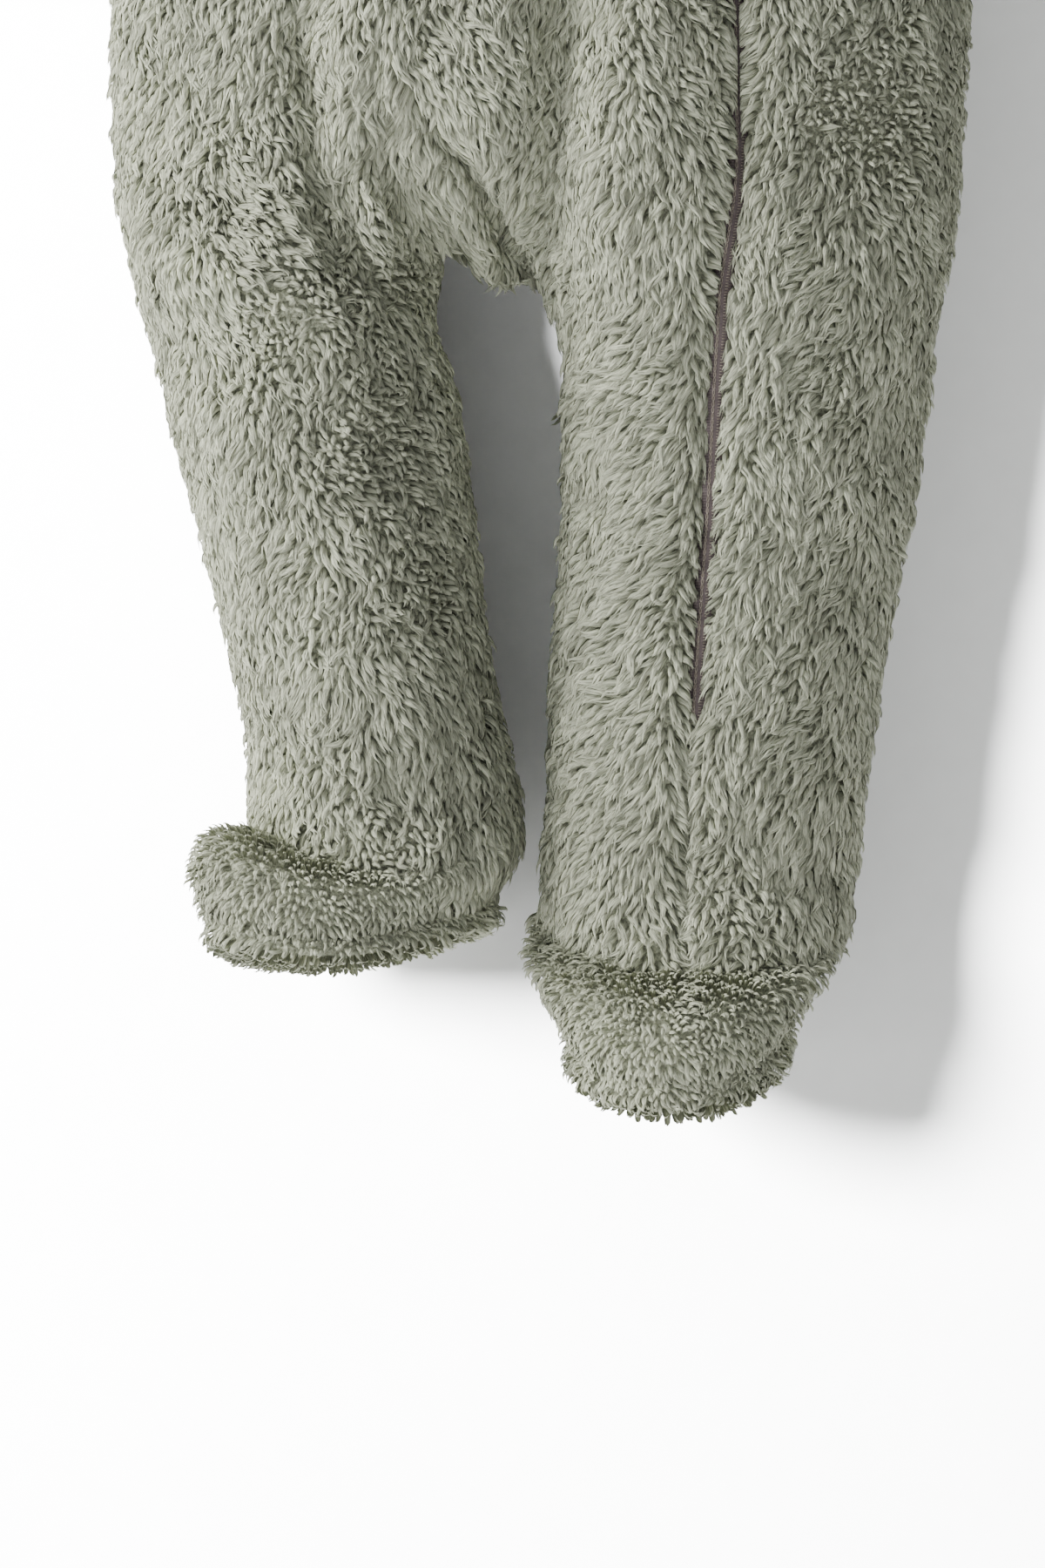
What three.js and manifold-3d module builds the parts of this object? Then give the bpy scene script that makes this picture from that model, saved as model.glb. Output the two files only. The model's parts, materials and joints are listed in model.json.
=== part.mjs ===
// A footed onesie for a one-year-old, sewn from long-pile fleece, hanging filled out and hollow.
// The front is crossed by a zip that runs from the neck down the wearer's left leg.
// Units are millimetres. +X is the wearer's left, +Y is the back, +Z is up.
// The origin is the middle of the neck opening, level with the neck ends of the shoulder seams.
//
// The outer face of the pile is one net of four-sided cells, worked out row by row from the tables.
// Each sewn piece takes its own cells of that net and gives them the thickness of the cloth.

import * as THREE from "three";
import { mergeVertices } from "three/addons/utils/BufferGeometryUtils.js";
import Module from "manifold-3d";

// Cloth and seams
const CLOTH = 7; // knitted backing and standing pile together
const SEAM_GAP = 0.4; // between two pieces that are sewn together
const SEAM_SINK = 1.6; // how far the pile dips at a seam
const COLOUR = { pile: 0xa0a290, tape: 0x5c5251, coil: 0x7d6e69, metal: 0x8d8680 };

// Cells round each half of the garment, and up the parts of it
const CELLS = {
  zipToSide: 9,
  zipToSplit: 11,
  sideToInseam: 14,
  inseamToSplit: 3,
  back: 12,
  shoulderLeft: 5,
  shoulderRight: 6,
  yoke: 9,
  crotch: 4,
  gusset: 5,
  footWall: 6,
};

// Neck and shoulders, as half widths, depths and drops from the origin
const NECK = { halfWidth: 60, frontDepth: 38, backDepth: 29, frontDrop: 42, backDrop: 10 };
const SHOULDER_TIP = { x: 128, z: -38 };
const UNDERARM = { x: 150, z: -165 };
const ARMHOLE_DEPTH = { front: 40, back: 36 };

// How square the sections are: 1 is an ellipse
const FULLNESS = { trunk: 0.8, leg: 0.92 };

// Trunk sections below the underarm. left and right are the outline, front and back are depths,
// split is where the two halves of the front net meet, seam is the centre back seam, and the turns are
// how many degrees round the trunk the side seams are turned to the front.
const TRUNK = [
  { z: -165, left: 150, right: -150, front: 55, back: 47, split: -46, seam: 0, leftTurn: 0, rightTurn: 0 },
  { z: -205, left: 155, right: -155, front: 57, back: 48, split: -44, seam: 0, leftTurn: 6, rightTurn: 3 },
  { z: -255, left: 160, right: -160, front: 59, back: 50, split: -40, seam: -1, leftTurn: 14, rightTurn: 8 },
  { z: -305, left: 164, right: -163, front: 60, back: 52, split: -34, seam: -4, leftTurn: 18, rightTurn: 11 },
  { z: -345, left: 166, right: -165, front: 61, back: 54, split: -31, seam: -8, leftTurn: 20, rightTurn: 12 },
  { z: -375, left: 165, right: -165, front: 61, back: 55, split: -36, seam: -13, leftTurn: 20, rightTurn: 12 },
  { z: -397, left: 163, right: -164, front: 60, back: 55, split: -45, seam: -18, leftTurn: 20, rightTurn: 12 },
];
const TRUNK_ROWS = [-165, -190, -216, -242, -266, -287, -306, -324, -340, -355, -370, -384, -397];

// Leg sections. outer and inner are the outline, front and back are depths from the leg's middle,
// and turn is how many degrees the leg is turned outwards there.
const LEGS = {
  left: [
    { z: -392, outer: 163, inner: -30, front: 62, back: 54, turn: -20 },
    { z: -426, outer: 160, inner: -8, front: 61, back: 54, turn: -20 },
    { z: -462, outer: 155, inner: 6, front: 58, back: 52, turn: -20 },
    { z: -480, outer: 152, inner: 8, front: 55, back: 50, turn: -18 },
    { z: -505, outer: 149, inner: 8, front: 52, back: 48, turn: -16 },
    { z: -545, outer: 144, inner: 7, front: 49, back: 44, turn: -12 },
    { z: -585, outer: 136, inner: 4, front: 47, back: 42, turn: -10 },
    { z: -625, outer: 130, inner: 2, front: 45, back: 40, turn: -8 },
    { z: -665, outer: 125, inner: 0, front: 44, back: 39, turn: -6 },
    { z: -705, outer: 120, inner: -4, front: 44, back: 39, turn: -5 },
  ],
  right: [
    { z: -392, outer: -164, inner: -54, front: 60, back: 54, turn: 12 },
    { z: -418, outer: -162, inner: -44, front: 62, back: 56, turn: 12 },
    { z: -445, outer: -157, inner: -35, front: 64, back: 58, turn: 13 },
    { z: -458, outer: -155, inner: -40, front: 65, back: 59, turn: 14 },
    { z: -470, outer: -152, inner: -40, front: 66, back: 60, turn: 15 },
    { z: -485, outer: -147, inner: -34, front: 65, back: 60, turn: 15 },
    { z: -505, outer: -143, inner: -30, front: 63, back: 59, turn: 16 },
    { z: -545, outer: -132, inner: -24, front: 59, back: 56, turn: 18 },
    { z: -585, outer: -122, inner: -20, front: 56, back: 54, turn: 20 },
    { z: -612, outer: -116, inner: -16, front: 54, back: 52, turn: 22 },
    { z: -645, outer: -112, inner: -8, front: 53, back: 50, turn: 24 },
    { z: -680, outer: -112, inner: -5, front: 52, back: 48, turn: 26 },
  ],
};

// Rows between the gusset's tip and the crotch, for each leg, and how far each is a leg rather than a trunk
const CROTCH_ROWS = {
  left: { z: [-413, -429, -446, -463], inner: [-32, -20, -8, 3] },
  right: { z: [-409, -421, -433, -445], inner: [-47, -43, -38, -35] },
};
const CROTCH_BLEND = [0.14, 0.38, 0.7, 1];
const GUSSET_SAG = 3;

// Where the legs end at the foot seam: its height at the sides, how it tilts to the front and inwards,
// and how far it rises over the instep, which lies at toeAt degrees round the front from the side seam
const ANKLES = {
  left: { z: -696, frontDrop: 17, innerRise: 4, toeRise: 0, toeAt: 90, rows: 18, settle: 7 },
  right: { z: -666, frontDrop: 10, innerRise: -2, toeRise: 11, toeAt: 50, rows: 16, settle: 6 },
};

// Feet. heel and toe are the ends of the sole seam before the toe curls up by curl; ball and heelWidth are
// half widths, rim is how deep the sole is, and the bulges are how far the upper stands out over its seam.
const FEET = {
  left: {
    heel: [60, 40, -713],
    toe: [45, -66, -759],
    ball: 45,
    heelWidth: 44,
    curl: 2,
    rim: 17,
    toeBulge: 9,
    outerBulge: 3,
    innerBulge: 9,
    heelBulge: 1,
    lift: 0.2,
  },
  right: {
    heel: [-18, 14, -688],
    toe: [-124, -42, -710],
    ball: 43,
    heelWidth: 40,
    curl: 14,
    rim: 11.5,
    toeBulge: 13,
    outerBulge: 3,
    innerBulge: 3,
    heelBulge: 1,
    lift: 0.45,
  },
};
// The sole's rings, from its seam to its middle: size of the outline, outset, and drop as a share of the rim
const SOLE_RINGS = [
  { size: 1, out: 2, drop: 0.5 },
  { size: 0.96, out: 0, drop: 1 },
  { size: 0.66, out: 0, drop: 1.2 },
  { size: 0.32, out: 0, drop: 1.25 },
];

// Sleeve sections from the armhole to the cuff: the underarm line, the overarm line and the half depth
const SLEEVE = [
  { underX: 160, underZ: -182, overX: 158, overZ: -58, deep: 44 },
  { underX: 175, underZ: -203, overX: 190, overZ: -90, deep: 46 },
  { underX: 192, underZ: -228, overX: 222, overZ: -128, deep: 45 },
  { underX: 208, underZ: -251, overX: 250, overZ: -166, deep: 43 },
  { underX: 221, underZ: -272, overX: 273, overZ: -201, deep: 41 },
  { underX: 232, underZ: -291, overX: 292, overZ: -235, deep: 39 },
];

// The zip's line on the front, and the seam that carries it on to the foot
const ZIP_LINE = [
  { z: -42, x: 0 },
  { z: -100, x: 10 },
  { z: -165, x: 26 },
  { z: -250, x: 53 },
  { z: -345, x: 73 },
  { z: -415, x: 74 },
  { z: -462, x: 67 },
  { z: -545, x: 62 },
  { z: -622, x: 57 },
  { z: -715, x: 52 },
];
// The line of the seam that bounds the gusset and then runs down the inside of the right leg's front
const INSEAM_LINE = [
  { z: -165, x: -82 },
  { z: -260, x: -72 },
  { z: -340, x: -60 },
  { z: -384, x: -59 },
  { z: -397, x: -60 },
  { z: -409, x: -67 },
  { z: -426, x: -68 },
  { z: -445, x: -63 },
  { z: -462, x: -55 },
  { z: -488, x: -44 },
  { z: -520, x: -40 },
  { z: -570, x: -35 },
  { z: -620, x: -32 },
  { z: -664, x: -23 },
];
const ZIP = { end: -622, halfGap: 2.4, halfWidth: 2.1, sink: 3.2, thick: 2.4, sliderHalfGap: 3.8 };

// Folds of the cloth. Each follows a line of x, z points on the front or back; depth is outwards.
const FOLDS = [
  { face: "front", depth: -11, width: 14, line: [[-84, -290], [-84, -345], [-80, -398], [-66, -440]] },
  { face: "front", depth: 6, width: 15, line: [[-62, -300], [-63, -355], [-62, -385]] },
  { face: "front", depth: -12, width: 10, line: [[-62, -408], [-50, -424], [-40, -442]] },
  { face: "front", depth: -14, width: 15, line: [[20, -285], [12, -345], [6, -395], [0, -452]] },
  { face: "front", depth: 6, width: 16, line: [[40, -300], [36, -380], [34, -440], [30, -500]] },
  { face: "front", depth: -7, width: 14, line: [[-150, -474], [-108, -482], [-84, -506]] },
  { face: "front", depth: 4, width: 16, line: [[-140, -448], [-100, -455], [-78, -470]] },
  { face: "front", depth: -5, width: 13, line: [[58, -680], [90, -684], [122, -680]] },
  { face: "front", depth: -4, width: 13, line: [[-112, -640], [-70, -652], [-30, -650]] },
  { face: "front", depth: -6, width: 18, line: [[128, -190], [92, -232], [58, -252]] },
  { face: "front", depth: -6, width: 18, line: [[-130, -186], [-98, -230], [-60, -262]] },
  { face: "front", depth: -5, width: 18, line: [[-40, -120], [-52, -200], [-48, -270]] },
  { face: "back", depth: -9, width: 18, line: [[-70, -300], [-66, -370], [-52, -430]] },
  { face: "back", depth: -9, width: 18, line: [[60, -290], [50, -370], [26, -440]] },
  { face: "back", depth: -6, width: 17, line: [[148, -440], [104, -462], [50, -470]] },
  { face: "back", depth: -6, width: 17, line: [[-150, -432], [-106, -462], [-60, -470]] },
  { face: "back", depth: -5, width: 16, line: [[132, -572], [84, -584], [24, -574]] },
  { face: "back", depth: -5, width: 16, line: [[-118, -560], [-76, -574], [-34, -562]] },
  { face: "back", depth: -6, width: 20, line: [[120, -180], [84, -226], [40, -250]] },
  { face: "back", depth: -6, width: 20, line: [[-122, -184], [-80, -232], [-36, -252]] },
];

// Slider and pull, in the zip's own frame
const SLIDER = { down: 4.5, width: 6.4, length: 9.5, rise: 1.2, chamfer: 0.7 };
const BAIL = { from: 1.2, to: 7.6, width: 1.8, bar: 1.3, inside: 2.6 };
const PULL = { width: 6, crossbar: 1.4, eye: 3.9, length: 25, thick: 1.5, clear: 0.35 };

const manifold = await Module();
manifold.setup();
const V = (x, y, z) => new THREE.Vector3(x, y, z);
const radians = THREE.MathUtils.degToRad;
const mix = THREE.MathUtils.lerp;
const between = (a, b, f) => a.clone().lerp(b, f);
const ease = (f) => THREE.MathUtils.smoothstep(f, 0, 1);

// The value of one named column of a table at height z, on a smooth curve through its rows.
function at(table, column, z) {
  const last = table.length - 1;
  if (z >= table[0].z) return table[0][column];
  if (z <= table[last].z) return table[last][column];
  const i = table.findIndex((row, k) => k < last && z <= row.z && z > table[k + 1].z);
  const slope = (k) => {
    const before = table[Math.max(k - 1, 0)];
    const after = table[Math.min(k + 1, last)];
    return (after[column] - before[column]) / (after.z - before.z);
  };
  const span = table[i + 1].z - table[i].z;
  const f = (z - table[i].z) / span;
  const start = (2 * f ** 3 - 3 * f ** 2 + 1) * table[i][column];
  const own = start + (3 * f ** 2 - 2 * f ** 3) * table[i + 1][column];
  return own + span * ((f ** 3 - 2 * f ** 2 + f) * slope(i) + (f ** 3 - f ** 2) * slope(i + 1));
}

// Points evenly spaced along a curve between two of its angles.
function evenly(curve, from, to, cells) {
  const fine = Array.from({ length: 97 }, (_, i) => curve(mix(from, to, i / 96)));
  return new THREE.CatmullRomCurve3(fine).getSpacedPoints(cells);
}

// The angle between two others at which a curve passes a given x.
function angleAtX(curve, x, from, to) {
  let [a, b] = [from, to];
  for (let i = 0; i < 40; i++) {
    const middle = (a + b) / 2;
    if (curve(middle).x - x > 0 === curve(a).x - x > 0) a = middle;
    else b = middle;
  }
  return (a + b) / 2;
}

// The net: its points, and for each piece the cells that it is cut from
const points = [];
const pieces = new Map();
const add = (p) => points.push(p) - 1;

function cell(piece, corners, flip) {
  const distinct = corners.filter((id, i) => id !== corners[(i + 1) % corners.length]);
  if (!pieces.has(piece)) pieces.set(piece, []);
  pieces.get(piece).push(flip ? distinct.reverse() : distinct);
}

// Cells between two rows of point numbers, for the columns from one to another.
function strip(piece, upper, lower, from, to, flip) {
  for (let c = from; c < to; c++) cell(piece, [upper[c], upper[c + 1], lower[c + 1], lower[c]], flip);
}

const sideOf = { left: 1, right: -1 };
const lineX = { left: (z) => at(ZIP_LINE, "x", z), right: (z) => at(INSEAM_LINE, "x", z) };
const frontCells = {
  left: [CELLS.zipToSide, CELLS.zipToSplit],
  right: [CELLS.sideToInseam, CELLS.inseamToSplit],
};

// A point of the trunk's section at height z. Angle 0 is the left side, 90 the front, 270 the back.
const trunkSection = (z) => {
  const [left, right] = [at(TRUNK, "left", z), at(TRUNK, "right", z)];
  return (degrees) => {
    const [c, s] = [Math.cos(radians(degrees)), Math.sin(radians(degrees))];
    const depth = s > 0 ? -at(TRUNK, "front", z) : at(TRUNK, "back", z);
    return V((left + right) / 2 + ((left - right) / 2) * c, depth * Math.abs(s) ** FULLNESS.trunk, z);
  };
};

// A point of a leg's section. Angle 0 is its outer side, 90 its front, 180 its inner side.
const legSection = (side, z) => {
  const table = LEGS[side];
  const [outer, inner] = [at(table, "outer", z), at(table, "inner", z)];
  return (degrees) => {
    const [c, s] = [Math.cos(radians(degrees)), Math.sin(radians(degrees))];
    const depth = s > 0 ? -at(table, "front", z) : at(table, "back", z);
    return V((outer + inner) / 2 + ((outer - inner) / 2) * c, depth * Math.abs(s) ** FULLNESS.leg, z);
  };
};

// The front row of one half, through the zip's line on the left half and the inseam's on the right.
function frontRow(side, curve, start, end, z) {
  const line = angleAtX(curve, lineX[side](z), start, end);
  const [before, after] = frontCells[side];
  return [...evenly(curve, start, line, before).slice(0, -1), ...evenly(curve, line, end, after)];
}

function trunkRow(side, z, splitX, seamX) {
  const curve = trunkSection(z);
  const left = side === "left";
  const start = left ? at(TRUNK, "leftTurn", z) : 180 + at(TRUNK, "rightTurn", z);
  const split = angleAtX(curve, splitX, 45, 150);
  const seam = angleAtX(curve, seamX, left ? -45 : 225, left ? -135 : 315);
  return {
    front: frontRow(side, curve, start, split, z),
    back: evenly(curve, start, seam, CELLS.back),
  };
}

function legRow(side, z) {
  const curve = legSection(side, z);
  const turn = at(LEGS[side], "turn", z);
  return {
    front: frontRow(side, curve, -turn, 180 - turn, z),
    back: evenly(curve, -turn, -180 - turn, CELLS.back),
  };
}

const shoulderCells = { left: CELLS.shoulderLeft, right: CELLS.shoulderRight };

// Rows of point numbers for each half, from the underarm down
const rows = { left: [], right: [] };

for (const z of TRUNK_ROWS) {
  const left = trunkRow("left", z, at(TRUNK, "split", z), at(TRUNK, "seam", z));
  const right = trunkRow("right", z, at(TRUNK, "split", z), at(TRUNK, "seam", z));
  const leftRow = { z, front: left.front.map(add), back: [] };
  leftRow.back = [leftRow.front[0], ...left.back.slice(1).map(add)];
  const rightRow = { z, front: right.front.slice(0, -1).map(add), back: [] };
  rightRow.front.push(leftRow.front.at(-1));
  rightRow.back = [rightRow.front[0], ...right.back.slice(1, -1).map(add), leftRow.back.at(-1)];
  rows.left.push(leftRow);
  rows.right.push(rightRow);
}
const TIP_ROW = TRUNK_ROWS.length - 1;
const CROTCH_ROW = TIP_ROW + CELLS.crotch;

// From the gusset's tip to the crotch each half turns from a part of the trunk into a leg.
for (const side of ["left", "right"]) {
  CROTCH_BLEND.forEach((blend, i) => {
    const [z, inner] = [CROTCH_ROWS[side].z[i], CROTCH_ROWS[side].inner[i]];
    const tipZ = TRUNK_ROWS[TIP_ROW];
    const body = trunkRow(side, z, at(TRUNK, "split", tipZ), at(TRUNK, "seam", tipZ));
    const leg = legRow(side, z);
    const blended = (face) => {
      const row = body[face].map((p, c) => between(p, leg[face][c], blend));
      const shift = inner - row.at(-1).x;
      return row.map((p, c) => p.setX(p.x + shift * (c / (row.length - 1)) ** 4));
    };
    const front = blended("front").map(add);
    const back = [front[0], ...blended("back").slice(1).map(add)];
    if (blend === 1) back[back.length - 1] = front.at(-1);
    rows[side].push({ z, front, back });
  });
}

// The legs, whose last rows take up the slope of the foot seam.
const footDown = {};
for (const side of ["left", "right"]) {
  const ankle = ANKLES[side];
  const top = CROTCH_ROWS[side].z.at(-1);
  for (let i = 1; i <= ankle.rows; i++) {
    const z = mix(top, ankle.z, i / ankle.rows);
    const row = legRow(side, z);
    const settled = ease((i - ankle.rows + ankle.settle) / ankle.settle);
    const sloped = (face, sign) =>
      row[face].map((p, c) => {
        const round = (Math.PI * c) / (row[face].length - 1);
        const tilt = -ankle.frontDrop * sign * Math.sin(round) - ankle.innerRise * Math.cos(round);
        const instep = ankle.toeRise * Math.max(0, Math.cos(sign * round - radians(ankle.toeAt))) ** 4;
        return p.setZ(p.z + (tilt + instep) * settled);
      });
    const front = sloped("front", 1).map(add);
    const back = [front[0], ...sloped("back", -1).slice(1, -1).map(add), front.at(-1)];
    rows[side].push({ z, front, back });
  }
  footDown[side] = rows[side].length - 1;
}

// The foot: walls from the ankle to the sole seam, then the sole's rings. Angle 90 is the toe.
function soleFrame(side) {
  const foot = FEET[side];
  const [heel, toe] = [V(...foot.heel), V(...foot.toe)];
  const forward = toe.clone().sub(heel).normalize();
  const lateral = V(0, 0, 1).cross(forward).normalize().multiplyScalar(sideOf[side]);
  const down = forward.clone().cross(lateral).normalize().multiplyScalar(sideOf[side]);
  if (down.z > 0) down.negate();
  return { foot, centre: between(heel, toe, 0.5), forward, lateral, down, half: heel.distanceTo(toe) / 2 };
}

function solePoint(frame, degrees, size, out, drop) {
  const [c, s] = [Math.cos(radians(degrees)), Math.sin(radians(degrees))];
  const wide = mix(frame.foot.heelWidth, frame.foot.ball, ease((s + 1) / 1.6));
  const along = size * frame.half * s + out * s;
  const curl = frame.foot.curl * Math.max(0, (along / frame.half - 0.25) / 0.75) ** 2;
  return frame.centre
    .clone()
    .addScaledVector(frame.forward, along)
    .addScaledVector(frame.lateral, size * wide * c + out * c)
    .addScaledVector(frame.down, drop * frame.foot.rim - curl);
}

const soles = { left: [], right: [] };
for (const side of ["left", "right"]) {
  const frame = soleFrame(side);
  const ankle = rows[side][footDown[side]];
  const wall = (from, angle, f) => {
    const to = solePoint(frame, angle, 1, 0, 0);
    const across = to.clone().sub(from);
    const [c, d] = [Math.cos(radians(angle)), Math.sin(radians(angle))];
    const foot = frame.foot;
    const ahead = Math.max(0, d) ** 2;
    const leave = V(across.x, across.y, 0).multiplyScalar(mix(0.5, 1.3, ahead));
    leave.z = across.z * mix(1, 0.5, ahead);
    const arrive = frame.down.clone().multiplyScalar(across.length() * mix(0.7, 1, ahead));
    const sideways = c > 0 ? foot.outerBulge : foot.innerBulge;
    const bulge = sideways * c ** 2 + (d > 0 ? foot.toeBulge : foot.heelBulge) * d ** 2;
    const outwards = to.clone().sub(frame.centre).normalize();
    return V(0, 0, 0)
      .addScaledVector(from, 2 * f ** 3 - 3 * f ** 2 + 1)
      .addScaledVector(leave, f ** 3 - 2 * f ** 2 + f)
      .addScaledVector(to, 3 * f ** 2 - 2 * f ** 3)
      .addScaledVector(arrive, f ** 3 - f ** 2)
      .addScaledVector(outwards.setZ(outwards.z + foot.lift * ahead), bulge * 6.75 * f * (1 - f) ** 2);
  };
  const box = new THREE.Box3().setFromPoints([...ankle.front, ...ankle.back].map((id) => points[id]));
  const [middle, size] = [box.getCenter(V(0, 0, 0)), box.getSize(V(0, 0, 0))];
  const facing = (x, y) => THREE.MathUtils.radToDeg(Math.atan2(-y, sideOf[side] * x));
  const turn = 90 - facing(frame.forward.x, frame.forward.y);
  const degrees = (p) => turn + facing((p.x - middle.x) / size.x, (p.y - middle.y) / size.y);
  const ring = (place) => {
    const placed = (id) => add(place(points[id], degrees(points[id])));
    const front = ankle.front.map(placed);
    return { front, back: [front[0], ...ankle.back.slice(1, -1).map(placed), front.at(-1)] };
  };
  for (let i = 1; i <= CELLS.footWall; i++) {
    rows[side].push(ring((from, angle) => wall(from, angle, i / CELLS.footWall)));
  }
  soles[side].push(rows[side].at(-1));
  for (const { size: share, out, drop } of SOLE_RINGS) {
    soles[side].push(ring((_, angle) => solePoint(frame, angle, share, out, drop)));
  }
  const centre = add(solePoint(frame, 0, 0, 0, SOLE_RINGS.at(-1).drop));
  soles[side].push({ front: ankle.front.map(() => centre), back: ankle.back.map(() => centre) });
}

// The yoke: from the underarm up to the shoulder seams and the neckline.
function armhole(side, f, face) {
  const angle = Math.PI * f;
  const x = mix(UNDERARM.x, SHOULDER_TIP.x, (1 - Math.cos(angle)) / 2);
  const z = mix(UNDERARM.z, SHOULDER_TIP.z, (1 - Math.cos(angle)) / 2);
  const y = (face === "front" ? -1 : 1) * ARMHOLE_DEPTH[face] * Math.sin(angle);
  return V(sideOf[side] * x, y, z);
}

function neckPoint(degrees, face) {
  const [c, s] = [Math.cos(radians(degrees)), Math.sin(radians(degrees))];
  const front = face === "front";
  return V(
    NECK.halfWidth * c,
    (front ? -NECK.frontDepth : NECK.backDepth) * s,
    (front ? -NECK.frontDrop : -NECK.backDrop) * s ** 2,
  );
}

// The top of each column: along the shoulder seam, then round the neckline.
function topRow(side, face) {
  const shoulder = shoulderCells[side];
  const row = [];
  for (let c = 0; c <= shoulder; c++) {
    const x = mix(SHOULDER_TIP.x, NECK.halfWidth, c / shoulder);
    row.push(V(sideOf[side] * x, 0, mix(SHOULDER_TIP.z, 0, c / shoulder)));
  }
  const splitAngle = THREE.MathUtils.radToDeg(Math.acos(TRUNK[0].split / NECK.halfWidth));
  const stretch = (from, to, cells) => {
    for (let i = 1; i <= cells; i++) row.push(neckPoint(mix(from, to, i / cells), face));
  };
  if (face === "back") stretch(side === "left" ? 0 : 180, 90, CELLS.back - shoulder);
  else if (side === "right") {
    stretch(180, mix(180, splitAngle, 0.6), frontCells.right[0] - shoulder);
    stretch(mix(180, splitAngle, 0.6), splitAngle, frontCells.right[1]);
  } else {
    stretch(0, 90, frontCells.left[0] - shoulder);
    stretch(90, splitAngle, frontCells.left[1]);
  }
  return row;
}

// One row of the yoke before it closes over the shoulders: a section that starts at the armhole.
function chestRow(side, f, face, z) {
  const edge = armhole(side, f, face);
  const deep = TRUNK[0][face];
  const angle = THREE.MathUtils.radToDeg(Math.asin((Math.abs(edge.y) / deep) ** (1 / FULLNESS.trunk)));
  const half = Math.abs(edge.x) / Math.cos(radians(angle));
  const sign = face === "front" ? 1 : -1;
  const start = side === "left" ? sign * angle : 180 - sign * angle;
  const curve = (degrees) => {
    const [c, s] = [Math.cos(radians(degrees)), Math.sin(radians(degrees))];
    return V(half * c, -sign * deep * Math.abs(s) ** FULLNESS.trunk, 0);
  };
  if (face === "front") return frontRow(side, curve, start, angleAtX(curve, TRUNK[0].split, 45, 150), z);
  return evenly(curve, start, side === "left" ? -90 : 270, CELLS.back);
}

const yoke = { left: [], right: [] };
for (const side of ["left", "right"]) {
  const start = rows[side][0];
  yoke[side].push({ front: start.front, back: start.back });
  for (const face of ["front", "back"]) {
    const top = topRow(side, face);
    const lineTop = face === "front" ? top[frontCells[side][0]].z : 0;
    const last = chestRow(side, 1, face, lineTop);
    const neckDrop = face === "front" ? -NECK.frontDrop : -NECK.backDrop;
    for (let u = 1; u <= CELLS.yoke; u++) {
      const f = u / CELLS.yoke;
      const height = (1 - Math.cos(Math.PI * f)) / 2;
      const chest = chestRow(side, f, face, mix(TRUNK[0].z, lineTop, height));
      const row = start[face].map((id, c) => {
        const onSplit = side === "right" && c === top.length - 1;
        if (onSplit) return yoke.left[u][face].at(-1);
        const sharedSeam = face === "back" && (c === 0 || (u === CELLS.yoke && c <= shoulderCells[side]));
        if (sharedSeam && u === CELLS.yoke) return yoke[side][u].front[c];
        if (c === 0) return add(armhole(side, f, face));
        const overShoulder = mix((1 - height ** 3) ** 0.45, 1, Math.max(0, 1 - c / 4) ** 2);
        const upToNeck = 1 - height ** 2.5;
        const roundNeck = c > shoulderCells[side] ? ease(top[c].z / neckDrop) : 0;
        const dome = mix(overShoulder, upToNeck, roundNeck);
        const x = chest[c].x + (top[c].x - last[c].x) * height ** 2;
        return add(V(x, mix(top[c].y, chest[c].y, dome), mix(points[id].z, top[c].z, height)));
      });
      if (face === "front") yoke[side].push({ front: row });
      else yoke[side][u].back = row;
    }
  }
}

// Sleeves: rings from the armhole to the cuff, numbered from the underarm round the front.
const sleeves = { left: [], right: [] };
for (const side of ["left", "right"]) {
  const front = yoke[side].map((row) => row.front[0]);
  const back = yoke[side].map((row) => row.back[0]);
  sleeves[side].push([...front, ...back.slice(1, -1).reverse(), front[0]]);
  const around = 2 * CELLS.yoke;
  for (const ring of SLEEVE) {
    const numbers = Array.from({ length: around }, (_, i) => {
      const angle = (2 * Math.PI * i) / around;
      const f = (1 - Math.cos(angle)) / 2;
      const x = mix(ring.underX, ring.overX, f);
      return add(V(sideOf[side] * x, -ring.deep * Math.sin(angle), mix(ring.underZ, ring.overZ, f)));
    });
    sleeves[side].push([...numbers, numbers[0]]);
  }
}

// The gusset: between the two halves from its front tip, under the crotch, to its back tip.
const gussetRows = { front: [], back: [] };
for (const face of ["front", "back"]) {
  for (let r = TIP_ROW; r <= CROTCH_ROW; r++) {
    const [from, to] = [rows.right[r][face].at(-1), rows.left[r][face].at(-1)];
    if (face === "back" && r === CROTCH_ROW) {
      gussetRows.back.push(gussetRows.front.at(-1));
      continue;
    }
    gussetRows[face].push(
      Array.from({ length: CELLS.gusset + 1 }, (_, i) => {
        if (i === 0 || from === to) return from;
        if (i === CELLS.gusset) return to;
        const f = i / CELLS.gusset;
        const sag = GUSSET_SAG * Math.sin(Math.PI * f) * ((r - TIP_ROW) / CELLS.crotch);
        return add(between(points[from], points[to], f).add(V(0, 0, -sag)));
      }),
    );
  }
}

// Cells of each sewn piece
function bands(list, paint) {
  list.slice(1).forEach((row, i) => paint(list[i], row, i));
}
const [ZIP_COLUMN, LAST_LEFT] = [frontCells.left[0], frontCells.left[0] + frontCells.left[1]];
const [INSEAM_COLUMN, LAST_RIGHT] = [frontCells.right[0], frontCells.right[0] + frontCells.right[1]];
const GUSSET_ENDS = CROTCH_ROW + 1;

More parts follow.
